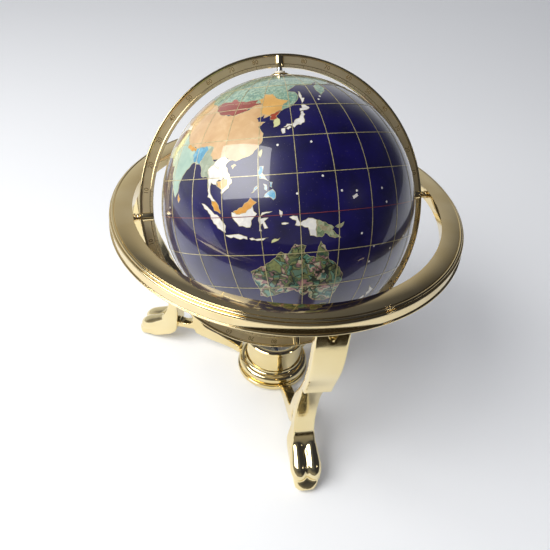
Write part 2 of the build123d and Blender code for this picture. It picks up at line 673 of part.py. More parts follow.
one_leg = leg()
for place in LEG_AZIMUTHS:
    write(at_leg(place, one_leg), f"leg_{place}")
    write(at_leg(place, foot_pad()), f"foot_pad_{place}")
leg_screw = Pos(LEG_SCREW_PLACE, 0, LIP_UNDERSIDE - FLANGE_THICKNESS) * pan_screw(LEG_SCREW_LENGTH)
write(around(leg_screw), "leg_screws")

write(hub_base(), "hub_base")
hub_screw = Pos(HUB_SCREW_PLACE, 0, HUB_BASE_BOTTOM + HUB_SCREW_SINK) * pan_screw(HUB_SCREW_LENGTH)
write(around(hub_screw), "hub_screws")
write(compass_cup(), "compass_cup")
write(compass_bezel(), "compass_bezel")
write(compass_glass(), "compass_glass")
write(compass_dial(), "compass_dial")
write(compass_post(), "compass_post")
write(compass_needle(), "compass_needle")
write(needle_jewel(), "needle_jewel")
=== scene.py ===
# %% [markdown]
# # A gemstone globe in its rings
# This lesson gives a finished look to a globe of inlaid stone. The globe spins in a brass meridian ring,
# the ring tilts in a flat horizon ring, and three cast legs with a compass hub carry them. The packed
# frame already says where everything is, so each new piece is worked out from it and rides on one of its
# bodies.

import json
import math

import bmesh
import bpy
import numpy as np
from mathutils import Matrix, Vector
from mathutils.geometry import delaunay_2d_cdt


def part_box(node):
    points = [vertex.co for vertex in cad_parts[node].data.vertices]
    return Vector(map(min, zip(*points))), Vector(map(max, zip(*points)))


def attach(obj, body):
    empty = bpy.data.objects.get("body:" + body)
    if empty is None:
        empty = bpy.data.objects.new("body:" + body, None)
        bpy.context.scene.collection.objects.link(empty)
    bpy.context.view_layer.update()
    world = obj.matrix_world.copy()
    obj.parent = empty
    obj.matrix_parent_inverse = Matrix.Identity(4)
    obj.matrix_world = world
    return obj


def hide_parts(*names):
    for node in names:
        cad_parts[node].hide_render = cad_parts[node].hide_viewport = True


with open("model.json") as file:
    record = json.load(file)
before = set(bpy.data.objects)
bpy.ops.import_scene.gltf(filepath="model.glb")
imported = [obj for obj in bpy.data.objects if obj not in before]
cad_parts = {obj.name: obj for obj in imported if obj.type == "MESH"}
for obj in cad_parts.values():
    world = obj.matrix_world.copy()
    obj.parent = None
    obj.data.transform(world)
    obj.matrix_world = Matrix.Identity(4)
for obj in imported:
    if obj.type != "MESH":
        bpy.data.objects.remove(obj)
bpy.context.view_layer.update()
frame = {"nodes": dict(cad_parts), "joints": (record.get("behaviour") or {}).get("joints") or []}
scene = bpy.context.scene
MM = 0.001

# %% [markdown]
# The globe is a ball, so its box gives its centre and its radius. The spin joint gives the direction of
# the polar axis. With the pole, the tilt axis (X) and the normal of the meridian ring we have the three
# directions that every place on the globe is measured in.

# %% Centre, radius and the globe's three directions
joints = {joint["name"]: joint for joint in frame["joints"]}
ball_low, ball_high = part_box("stone_shell")
CENTRE = np.array((ball_low + ball_high) / 2)
RADIUS = (ball_high.x - ball_low.x) / 2
POLE = np.array(joints["globe_spin"]["axis"], float)
POLE /= np.linalg.norm(POLE)
EAST = np.array([1.0, 0.0, 0.0])
FRONT = np.cross(EAST, POLE)
UP = np.array([0.0, 0.0, 1.0])
FRONT_LONGITUDE = 146.0


def box_mm(node):
    """The two corners of a node's box, in mm."""
    low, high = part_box(node)
    return low / MM, high / MM


print("globe radius in mm:", round(RADIUS / MM, 2), "pole:", POLE.round(3))

# %% [markdown]
# The camera stands to the left of the front and looks down on the globe. It rolls a little, as a camera
# does when it is held in the hand. Its place is given from the globe's centre.

# %% Camera
CAMERA_OFFSET = (-142.5 * MM, -433.1 * MM, 294.5 * MM)
CAMERA_AZIMUTH = math.radians(-17.49)
CAMERA_ELEVATION = math.radians(39.46)
CAMERA_ROLL = math.radians(5.19)
FOCAL_LENGTH = 39.9

camera_back = Vector((math.sin(CAMERA_AZIMUTH) * math.cos(CAMERA_ELEVATION),
                      -math.cos(CAMERA_AZIMUTH) * math.cos(CAMERA_ELEVATION),
                      math.sin(CAMERA_ELEVATION)))
level_right = Vector((math.cos(CAMERA_AZIMUTH), math.sin(CAMERA_AZIMUTH), 0))
level_up = camera_back.cross(level_right)
camera_right = level_right * math.cos(CAMERA_ROLL) + level_up * math.sin(CAMERA_ROLL)
camera_up = camera_back.cross(camera_right)

camera_data = bpy.data.cameras.new("camera")
camera_data.lens = FOCAL_LENGTH
camera_data.sensor_width = 36.0
camera_data.clip_start = 0.01
camera = bpy.data.objects.new("camera", camera_data)
scene.collection.objects.link(camera)
turn = Matrix((camera_right, camera_up, camera_back)).transposed().to_4x4()
camera.matrix_world = Matrix.Translation(Vector(CENTRE) + Vector(CAMERA_OFFSET)) @ turn
scene.camera = camera
print("camera at", [round(value, 3) for value in camera.location])

# %% [markdown]
# A few helpers do the work for every finish. One turns a hex colour, as a paint card gives it, into the
# linear values that a shader wants. One adds a node with its settings and its links. The others stand for
# the nodes that every finish needs: noise, chips, a ramp of colours, a new range, a mixture and a bump.

# %% Helpers for finishes


def linear(hex_colour):
    """sRGB hex to linear: v / 12.92 up to 0.04045, and above that ((v + 0.055) / 1.055) to the power 2.4."""
    values = [int(hex_colour[place:place + 2], 16) / 255 for place in (1, 3, 5)]
    return tuple(v / 12.92 if v <= 0.04045 else ((v + 0.055) / 1.055) ** 2.4 for v in values) + (1.0,)


def add_node(tree, kind, inputs=None, **settings):
    """Add a node, set its properties, and fill its inputs with values or with links from other sockets."""
    node = tree.nodes.new(kind)
    for key, value in settings.items():
        setattr(node, key, value)
    for key, value in (inputs or {}).items():
        if isinstance(value, bpy.types.NodeSocket):
            tree.links.new(value, node.inputs[key])
        else:
            node.inputs[key].default_value = value
    return node


def new_material(name, **values):
    """A material with a bare Principled shader, whose sockets take the given values."""
    material = bpy.data.materials.new(name)
    material.use_nodes = True
    tree = material.node_tree
    shader = tree.nodes["Principled BSDF"]
    for key, value in values.items():
        shader.inputs[key.replace("_", " ")].default_value = value
    return material, tree, shader


def drive(tree, shader, **sources):
    """Link inputs of a shader, such as Base_Color, to the outputs that drive them."""
    for key, source in sources.items():
        tree.links.new(source, shader.inputs[key.replace("_", " ")])


def object_place(tree):
    """The place on the piece in its own metres, so a pattern keeps its real size."""
    return add_node(tree, "ShaderNodeTexCoord").outputs["Object"]


def colour_ramp(tree, factor, stops):
    """A colour ramp with (position, hex colour) stops, driven by a socket."""
    ramp = add_node(tree, "ShaderNodeValToRGB", {"Fac": factor})
    while len(ramp.color_ramp.elements) < len(stops):
        ramp.color_ramp.elements.new(0.5)
    for element, (position, colour) in zip(ramp.color_ramp.elements, stops):
        element.position = position
        element.color = linear(colour)
    return ramp.outputs["Color"]


def noise(tree, place, size_mm, detail, distortion=0.0):
    """Soft noise with clouds of size_mm; gives the outputs Fac and Color."""
    return add_node(tree, "ShaderNodeTexNoise", {"Vector": place, "Scale": 1 / (size_mm * MM),
                                                 "Detail": detail, "Distortion": distortion}).outputs


def chips(tree, place, size_mm, feature="F1"):
    """Cells of size_mm; gives the outputs Distance and Color."""
    return add_node(tree, "ShaderNodeTexVoronoi", {"Vector": place, "Scale": 1 / (size_mm * MM)},
                    feature=feature).outputs


def first_channel(tree, colour):
    """The red channel of a colour, which serves as one random value for each chip."""
    return add_node(tree, "ShaderNodeSeparateColor", {"Color": colour}).outputs["Red"]


def new_range(tree, value, low, high, to_low=0.0, to_high=1.0, kind="LINEAR"):
    """Move a value from the range low..high to the range to_low..to_high."""
    return add_node(tree, "ShaderNodeMapRange", {"Value": value, "From Min": low, "From Max": high,
                                                 "To Min": to_low, "To Max": to_high},
                    interpolation_type=kind).outputs["Result"]


def below(tree, value, limit):
    """One where the value is under the limit, and nothing elsewhere."""
    return add_node(tree, "ShaderNodeMath", {0: value, 1: limit}, operation="LESS_THAN").outputs[0]


def mixed_values(tree, share, first, second):
    """First x (1 - share) + second x share, for plain values."""
    return add_node(tree, "ShaderNodeMix", {"Factor": share, "A": first, "B": second},
                    data_type="FLOAT").outputs[0]


def mixed_colours(tree, share, first, second):
    """First x (1 - share) + second x share, for colours."""
    return add_node(tree, "ShaderNodeMix", {"Factor": share, "A": first, "B": second},
                    data_type="RGBA").outputs[2]


def bump(tree, height, depth_mm):
    """The normal of a surface that rises by depth_mm where the height is one."""
    return add_node(tree, "ShaderNodeBump", {"Height": height, "Distance": depth_mm * MM}).outputs["Normal"]


# %% [markdown]
# The rings and the legs are brass with a thin bright gold plate. A plated casting is a mirror that is never
# quite flat: the polishing wheel leaves long soft waves, and wiping leaves faint haze. So the roughness
# moves a little, and a very low bump bends the reflections by a fraction of a degree.

# %% Gold plate
WIPE_SIZE = 11
TONE_SIZE = 40


def gold_plate(name, colour, haze, wave_size_mm, wave_depth):
    """Polished plate: haze is its roughness, the waves are wave_size_mm across and wave_depth (mm) high."""
    material, tree, shader = new_material(name, Metallic=1.0)
    place = object_place(tree)
    wipe = noise(tree, place, WIPE_SIZE, 4.0)["Fac"]
    tone = noise(tree, place, TONE_SIZE, 2.0)["Fac"]
    wave = noise(tree, place, wave_size_mm, 0.0)["Fac"]
    light_tone, dark_tone = colour
    drive(tree, shader, Roughness=new_range(tree, wipe, 0.3, 0.75, haze, haze + 0.05),
          Base_Color=colour_ramp(tree, tone, [(0.35, dark_tone), (0.65, light_tone)]),
          Normal=bump(tree, wave, wave_depth))
    return material


GOLD_TONES = ("#efdcae", "#e5cf9b")
POLISHED_GOLD = gold_plate("gold_plate_turned", GOLD_TONES, 0.05, 30, 0.04)
CAST_GOLD = gold_plate("gold_plate_cast", ("#f2e2b4", "#ecd9a4"), 0.09, 14, 0.05)
SATIN_GOLD = gold_plate("gold_plate_satin_band", ("#f0dfb6", "#e2cea0"), 0.5, 6, 0.02)
print("gold finishes:", POLISHED_GOLD.name, CAST_GOLD.name, SATIN_GOLD.name)

# %% [markdown]
# The stones are sawn thin, laid edge to edge, ground to one ball and lacquered. Every stone has its own
# pattern under the same glossy coat: the coat is what makes the ball shine like glass, while the colour
# comes from below it. Lapis is a deep violet blue with clouds and small flecks of pyrite.

# %% Stones and shell
COAT = {"Roughness": 0.32, "Coat_Weight": 1.0, "Coat_Roughness": 0.012, "Coat_IOR": 1.5}


def lapis():
    """Ground lapis: a dark blue with slow clouds and sparse gold flecks 0.3 mm across."""
    material, tree, shader = new_material("lapis_lazuli", **COAT)
    place = object_place(tree)
    base = colour_ramp(tree, noise(tree, place, 18, 5.0)["Fac"], [(0.3, "#0a0536"), (0.7, "#130a54")])
    fleck = below(tree, chips(tree, place, 2.2)["Distance"], 0.075)
    drive(tree, shader, Base_Color=mixed_colours(tree, fleck, base, linear("#6a5f70")))
    return material


def cut_stone(name, stops, chip_mm, cloud_share):
    """A stone of small chips: each takes one colour of the ramp, and a cloud mottles it by its share."""
    material, tree, shader = new_material(name, **COAT)
    place = object_place(tree)
    chip_value = first_channel(tree, chips(tree, place, chip_mm)["Color"])
    cloud = noise(tree, place, chip_mm / 1.4, 6.0, 0.6)["Fac"]
    drive(tree, shader, Base_Color=colour_ramp(tree, mixed_values(tree, cloud_share, chip_value, cloud),
                                               stops))
    return material


SHELL_BEND = 12 * MM


def shell_chips(name, stops, chip_mm):
    """Abalone: bent chips, each cut across another part of the shell, with swirling bands and dark seams."""
    material, tree, shader = new_material(name, **COAT)
    place = object_place(tree)
    shift = add_node(tree, "ShaderNodeVectorMath", {0: noise(tree, place, 9, 2.0)["Color"],
                                                    1: (0.5, 0.5, 0.5)}, operation="SUBTRACT").outputs[0]
    bent = add_node(tree, "ShaderNodeVectorMath", {0: shift, 1: (SHELL_BEND,) * 3, 2: place},
                    operation="MULTIPLY_ADD").outputs[0]
    chip_value = first_channel(tree, chips(tree, bent, chip_mm)["Color"])
    band = new_range(tree, noise(tree, bent, 13, 2.0, 0.9)["Fac"], 0.3, 0.7)
    colour = colour_ramp(tree, mixed_values(tree, 0.6, chip_value, band), stops)
    seam = below(tree, chips(tree, bent, chip_mm, "DISTANCE_TO_EDGE")["Distance"], 0.025)
    drive(tree, shader, Base_Color=mixed_colours(tree, seam, colour, linear("#1a2420")))
    return material


CUT_STONES = {
    "green_chip_stone": ([(0.15, "#48695c"), (0.4, "#7f9c84"), (0.55, "#a2b99a"), (0.7, "#5c8a80"),
                          (0.9, "#b4c29e")], 1.9, 0.5),
    "red_jasper": ([(0.2, "#7c342c"), (0.6, "#95493f"), (0.9, "#a86453")], 9.0, 0.8),
    "sand_jasper": ([(0.2, "#bb9264"), (0.55, "#caa678"), (0.9, "#d9bc94")], 14.0, 0.85),
    "ochre_jasper": ([(0.2, "#bd8d48"), (0.55, "#d2a258"), (0.9, "#dcb674")], 12.0, 0.85),
    "carnelian": ([(0.2, "#85301c"), (0.6, "#9c4126"), (0.9, "#b05a34")], 8.0, 0.8),
    "amber_jasper": ([(0.2, "#b87a26"), (0.6, "#cf9236"), (0.9, "#dcaa58")], 8.0, 0.8),
    "new_jade": ([(0.2, "#b3bd84"), (0.6, "#c8c890"), (0.9, "#d9d8ac")], 10.0, 0.8),
    "mother_of_pearl": ([(0.2, "#c9c6c2"), (0.5, "#dcd9d2"), (0.8, "#ece8dc")], 5.0, 0.7),
    "sea_green_agate": ([(0.2, "#8aa898"), (0.6, "#9fb8a6"), (0.9, "#b7c8b4")], 12.0, 0.85),
    "blue_agate": ([(0.2, "#44809e"), (0.6, "#629fb8"), (0.9, "#98bec8")], 4.0, 0.6),
    "blue_paua_chips": ([(0.15, "#2d6c98"), (0.4, "#5fa6c6"), (0.6, "#c4ccd0"), (0.8, "#3f88a8"),
                         (0.95, "#dcd9d2")], 3.2, 0.35),
    "grey_green_agate": ([(0.2, "#86917c"), (0.6, "#9aa48e"), (0.9, "#b0b6a0")], 5.0, 0.6),
    "moss_agate": ([(0.15, "#4c6147"), (0.4, "#7d8c66"), (0.6, "#a3ab8a"), (0.85, "#8f7c5c")], 3.0, 0.4),
    "brown_jasper": ([(0.2, "#6d4a32"), (0.6, "#8a6545"), (0.9, "#a88860")], 9.0, 0.8),
}
ABALONE_COLOURS = [(0.06, "#18261f"), (0.2, "#2f5c4a"), (0.3, "#6d9580"), (0.37, "#3c3827"),
                   (0.45, "#7d8453"), (0.53, "#26463a"), (0.6, "#98696c"), (0.67, "#b5b592"),
                   (0.75, "#3b7670"), (0.86, "#484330"), (0.95, "#93b699")]
STONES = {name: cut_stone(name, *look) for name, look in CUT_STONES.items()}
STONES["lapis_lazuli"] = lapis()
STONES["abalone_shell"] = shell_chips("abalone_shell", ABALONE_COLOURS, 13.0)
print("stones:", ", ".join(sorted(STONES)))

# %% [markdown]
# Felt, nylon, steel, brass, resin, enamel, wax, blued steel, ink, wire and glass finish the small pieces.
# Each has its own grain at its real size: felt tufts of about half a millimetre, fine turning lines on
# steel, orange peel on enamel.

# %% Finishes of the small pieces


def plain_finish(name, dark, light, grain_mm, bump_mm, stretch=(1, 1, 1), **values):
    """A material whose colour runs from dark to light with a noise of grain_mm, raised by bump_mm."""
    material, tree, shader = new_material(name, **values)
    place = add_node(tree, "ShaderNodeMapping", {"Vector": object_place(tree), "Scale": stretch})
    grain = noise(tree, place.outputs["Vector"], grain_mm, 3.0)["Fac"]
    drive(tree, shader, Base_Color=colour_ramp(tree, grain, [(0.35, dark), (0.65, light)]),
          Normal=bump(tree, grain, bump_mm))
    return material


FELT = plain_finish("pressed_wool_felt", "#15402c", "#23573d", 0.6, 0.25, Roughness=0.95, Sheen_Weight=0.5)
NYLON = plain_finish("moulded_nylon", "#d9d4c6", "#e6e1d4", 3.0, 0.01, Roughness=0.45)
STEEL = plain_finish("turned_bright_steel", "#b9bcc0", "#d2d5d8", 0.5, 0.004, (1, 1, 12), Metallic=1.0,
                     Roughness=0.22)
BRASS = plain_finish("turned_bearing_brass", "#b98f45", "#d0a85c", 0.5, 0.004, (12, 1, 1), Metallic=1.0,
                     Roughness=0.24)
RESIN = plain_finish("cast_core_resin", "#5f5a50", "#6d675b", 5.0, 0.03, Roughness=0.6)
ENAMEL = plain_finish("fired_dial_enamel", "#efe9d8", "#f5f0e2", 4.0, 0.006, Roughness=0.18, Coat_Weight=0.6)
MARK_WAX = plain_finish("engraver_brown_wax", "#6f5830", "#846a3a", 1.5, 0.004, Roughness=0.6)
BLUED = plain_finish("blued_spring_steel", "#16264f", "#24407c", 1.5, 0.002, (1, 6, 1), Metallic=1.0,
                     Roughness=0.2)
INK = plain_finish("printed_dial_ink", "#1d1a18", "#2a2521", 1.0, 0.002, Roughness=0.5)
WIRE_GOLD = plain_finish("ground_flush_wire", "#a89c70", "#c9be90", 2.5, 0.0, Metallic=0.25, Roughness=0.35,
                         Coat_Weight=1.0, Coat_Roughness=0.012)
WIRE_RED = plain_finish("red_equator_inlay", "#6f2a30", "#83383a", 2.5, 0.0, Roughness=0.35, Coat_Weight=1.0,
                        Coat_Roughness=0.012)
GLASS = new_material("ground_compass_glass", Roughness=0.0, IOR=1.5, Transmission_Weight=1.0,
                     Base_Color=linear("#fbfdfc"))[0]
print("small finishes ready")

# %% [markdown]
# Every new piece is a grid of points or a set of faces, worked out as whole arrays. One function makes the
# object: it puts the arrays in a mesh, turns all faces outwards, keeps the edges crisp where the surface
# turns sharply, gives it the finish, and lets it ride on its body.

# %% Making pieces
CRISP_ANGLE = math.radians(32)


def place_piece(name, mesh, material, body, replaces=()):
    """Put a mesh in the scene under its name, with its finish and body, and hide the nodes it stands for."""
    mesh.materials.clear()
    mesh.materials.append(material)
    piece = bpy.data.objects.new(name, mesh)
    scene.collection.objects.link(piece)
    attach(piece, body)
    if replaces:
        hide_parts(*replaces)
    return piece


def make_piece(name, points, faces, material, body, replaces=(), normals=None, tidy_up=True):
    """A piece from points (n, 3) and faces; tidy_up merges doubles and turns the faces outwards."""
    mesh = bpy.data.meshes.new(name)
    mesh.from_pydata(points.tolist(), [], faces if isinstance(faces, list) else faces.tolist())
    if tidy_up:
        work = bmesh.new()
        work.from_mesh(mesh)
        bmesh.ops.remove_doubles(work, verts=work.verts, dist=1e-6)
        bmesh.ops.recalc_face_normals(work, faces=work.faces)
        work.to_mesh(mesh)
        work.free()
    mesh.shade_smooth()
    if normals is None:
        mesh.set_sharp_from_angle(angle=CRISP_ANGLE)
    else:
        mesh.normals_split_custom_set_from_vertices(normals.tolist())
    return place_piece(name, mesh, material, body, replaces)


def grid_faces(rows, columns, close_rows, close_columns):
    """Quads of a rows by columns grid, which may join its last row or column to its first."""
    row = np.arange(rows if close_rows else rows - 1)
    column = np.arange(columns if close_columns else columns - 1)
    r, c = (a.ravel() for a in np.meshgrid(row, column, indexing="ij"))
    r2, c2 = (r + 1) % rows, (c + 1) % columns
    return np.stack([r * columns + c, r * columns + c2, r2 * columns + c2, r2 * columns + c], axis=1)


def arc(centre, radius, start, end, steps=12):
    """Points of an arc: centre + radius (cos a, sin a), with the angle a in degrees from start to end."""
    a = np.radians(np.linspace(start, end, steps))
    return [(centre[0] + radius * math.cos(t), centre[1] + radius * math.sin(t)) for t in a]


def soften(profile, radius, closed):
    """Round every corner P of a profile to P + r (1 - t)^2 a + r t^2 b, where a and b point to its
    neighbours and r is the radius, or less beside a short side."""
    corner = np.array(profile, float)
    before, after = np.roll(corner, 1, axis=0) - corner, np.roll(corner, -1, axis=0) - corner
    long_before, long_after = np.linalg.norm(before, axis=1), np.linalg.norm(after, axis=1)
    r = np.minimum(radius, 0.45 * np.minimum(long_before, long_after))
    if not closed:
        r[0] = r[-1] = 0
    r = r[:, None, None]
    a = (before / np.maximum(long_before, 1e-9)[:, None])[:, None, :]
    b = (after / np.maximum(long_after, 1e-9)[:, None])[:, None, :]
    t = np.linspace(0, 1, 4)[None, :, None]
    return (corner[:, None, :] + r * a * (1 - t) ** 2 + r * b * t ** 2).reshape(-1, 2)


def lathe(name, profile, centre, axis, material, body, slot, replaces=(), closed=True, radius=0.25,
          steps=288):
    """Turn a profile of (distance from the axis, height along it), in mm, all the way round the axis:
    point = centre + r (cos a . u + sin a . v) + h . axis, with u and v square to the axis."""
    outline = soften(profile, radius, closed) * MM
    axis = np.array(axis, float)
    u = np.cross(axis, UP) if abs(axis @ UP) < 0.9 else EAST
    u = u / np.linalg.norm(u)
    v = np.cross(axis, u)
    a = np.linspace(0, 2 * np.pi, steps, endpoint=False)[None, :, None]
    r, h = outline[:, 0][:, None, None], outline[:, 1][:, None, None]
    points = np.array(centre) + r * (np.cos(a) * u + np.sin(a) * v) + h * axis
    faces = grid_faces(len(outline), steps, closed, True)
    return make_piece(name, points.reshape(-1, 3), faces, material, body, replaces)


# %% [markdown]
# The horizon ring has a flat mirror top, a crease, two beads, a tall plain wall and a thin lip. Its
# section is drawn once and turned about the vertical through the globe's centre. Sections are lists of
# (distance from the axis, height along it) in mm. The ring is hollow below.

# %% Horizon ring
horizon_low, horizon_high = box_mm("horizon_ring")
RING_TOP, RING_FOOT = (height - CENTRE[2] / MM for height in (horizon_high.z, horizon_low.z))
LIP_RADIUS = horizon_high.x
INNER_WALL, HOLLOW_INNER, HOLLOW_OUTER, OUTER_WALL = 134.1, 137.1, 150.0, 153.0
INNER_FOOT, HOLLOW_TOP = -6.0, 1.3
BEAD_RADIUS = 1.35
bead_in, bead_out = (150.35, 2.95), (152.1, 1.2)
horizon_section = ([(INNER_WALL, INNER_FOOT), (INNER_WALL, RING_TOP), (148.9, RING_TOP), (149.1, 3.7)]
                   + arc(bead_in, BEAD_RADIUS, 140, -21.4) + arc(bead_out, BEAD_RADIUS, 111.6, -48.2)
                   + [(OUTER_WALL, -7.1), (LIP_RADIUS, -7.3), (LIP_RADIUS, RING_FOOT),
                      (HOLLOW_OUTER, RING_FOOT), (HOLLOW_OUTER, HOLLOW_TOP), (HOLLOW_INNER, HOLLOW_TOP),
                      (HOLLOW_INNER, INNER_FOOT)])
lathe("horizon_ring_polished", horizon_section, CENTRE, UP, POLISHED_GOLD, "stand", "gold_plate",
      ["horizon_ring"], steps=384)
print("horizon ring made")

# %% [markdown]
# The meridian ring stands in the plane of the tilt axis and the pole. A thin raised rim and a brighter
# inner band lie either side of the recessed band with the numbers. Four round bosses cross the recess and
# hold the tilt pins and the polar pins.

# %% Meridian ring
RING_INNER, BAND_INNER, BAND_OUTER, RING_OUTER = 117.0, 119.8, 126.1, 128.2
SCALE_FACE, RECESS, RIM_FACE = 2.55, 2.2, 3.0
half_section = [(RING_INNER, SCALE_FACE), (119.5, SCALE_FACE), (BAND_INNER, RECESS), (BAND_OUTER, RECESS),
                (126.5, RIM_FACE), (127.7, RIM_FACE), (RING_OUTER, 2.5)]
meridian_section = half_section + [(r, -h) for r, h in reversed(half_section)]
lathe("meridian_ring_polished", meridian_section, CENTRE, FRONT, POLISHED_GOLD, "gimbal", "gold_plate",
      ["meridian_ring"], radius=0.2, steps=360)
SCALE_BAND, NUMBER_BAND = (117.3, 119.35, SCALE_FACE), (BAND_INNER + 0.2, BAND_OUTER - 0.2, RECESS)
BAND_SINK, BAND_RISE = 0.1, 0.03
for face, sign in (("front", 1), ("back", -1)):
    for band, (start, stop, level) in (("scale", SCALE_BAND), ("number", NUMBER_BAND)):
        low, high = sign * (level - BAND_SINK), sign * (level + BAND_RISE)
        lathe(f"{band}_band_{face}", [(start, low), (stop, low), (stop, high), (start, high)], CENTRE, FRONT,
              SATIN_GOLD, "gimbal", "gold_plate", radius=0.0, steps=360)
BOSS_RADIUS, BOSS_INNER, BOSS_OUTER = 4.2, 117.3, 126.6
boss_section = [(0, BOSS_INNER), (BOSS_RADIUS, BOSS_INNER), (BOSS_RADIUS, BOSS_OUTER), (0, BOSS_OUTER)]
for boss_name, direction in (("east", EAST), ("west", -EAST), ("north", POLE), ("south", -POLE)):
    lathe(f"boss_{boss_name}", boss_section, CENTRE, direction, POLISHED_GOLD, "gimbal", "gold_plate",
          closed=False, radius=0.5, steps=64)
print("meridian ring made")

# %% [markdown]
# The ball itself is the sea: a shell of lapis with a round opening at each pole for the bearings. It is
# shaded smooth, so the lacquer reflects as one unbroken ball.

# %% Lapis shell
SHELL_WALL = 2.4 * MM
POLE_OPENING = math.radians(3.6)
SHELL_ROWS, SHELL_COLUMNS = 120, 288


def ball_shell(name, outer, inner, material):
    """Two spheres joined at the polar openings: point = centre + R (cos a (cos b . front + sin b . east)
    + sin a . pole), with latitude a and longitude b."""
    latitude = np.linspace(-np.pi / 2 + POLE_OPENING, np.pi / 2 - POLE_OPENING, SHELL_ROWS)
    a = np.concatenate([latitude, latitude[::-1]])[:, None, None]
    radius = np.repeat([outer, inner], SHELL_ROWS)[:, None, None]
    b = np.linspace(0, 2 * np.pi, SHELL_COLUMNS, endpoint=False)[None, :, None]
    ray = np.cos(a) * (np.cos(b) * FRONT + np.sin(b) * EAST) + np.sin(a) * POLE
    points = (CENTRE + radius * ray).reshape(-1, 3)
    faces = grid_faces(2 * SHELL_ROWS, SHELL_COLUMNS, True, True)
    return make_piece(name, points, faces, material, "globe", ["stone_shell"])


ball_shell("lapis_shell", RADIUS, RADIUS - SHELL_WALL, STONES["lapis_lazuli"])
print("shell made")
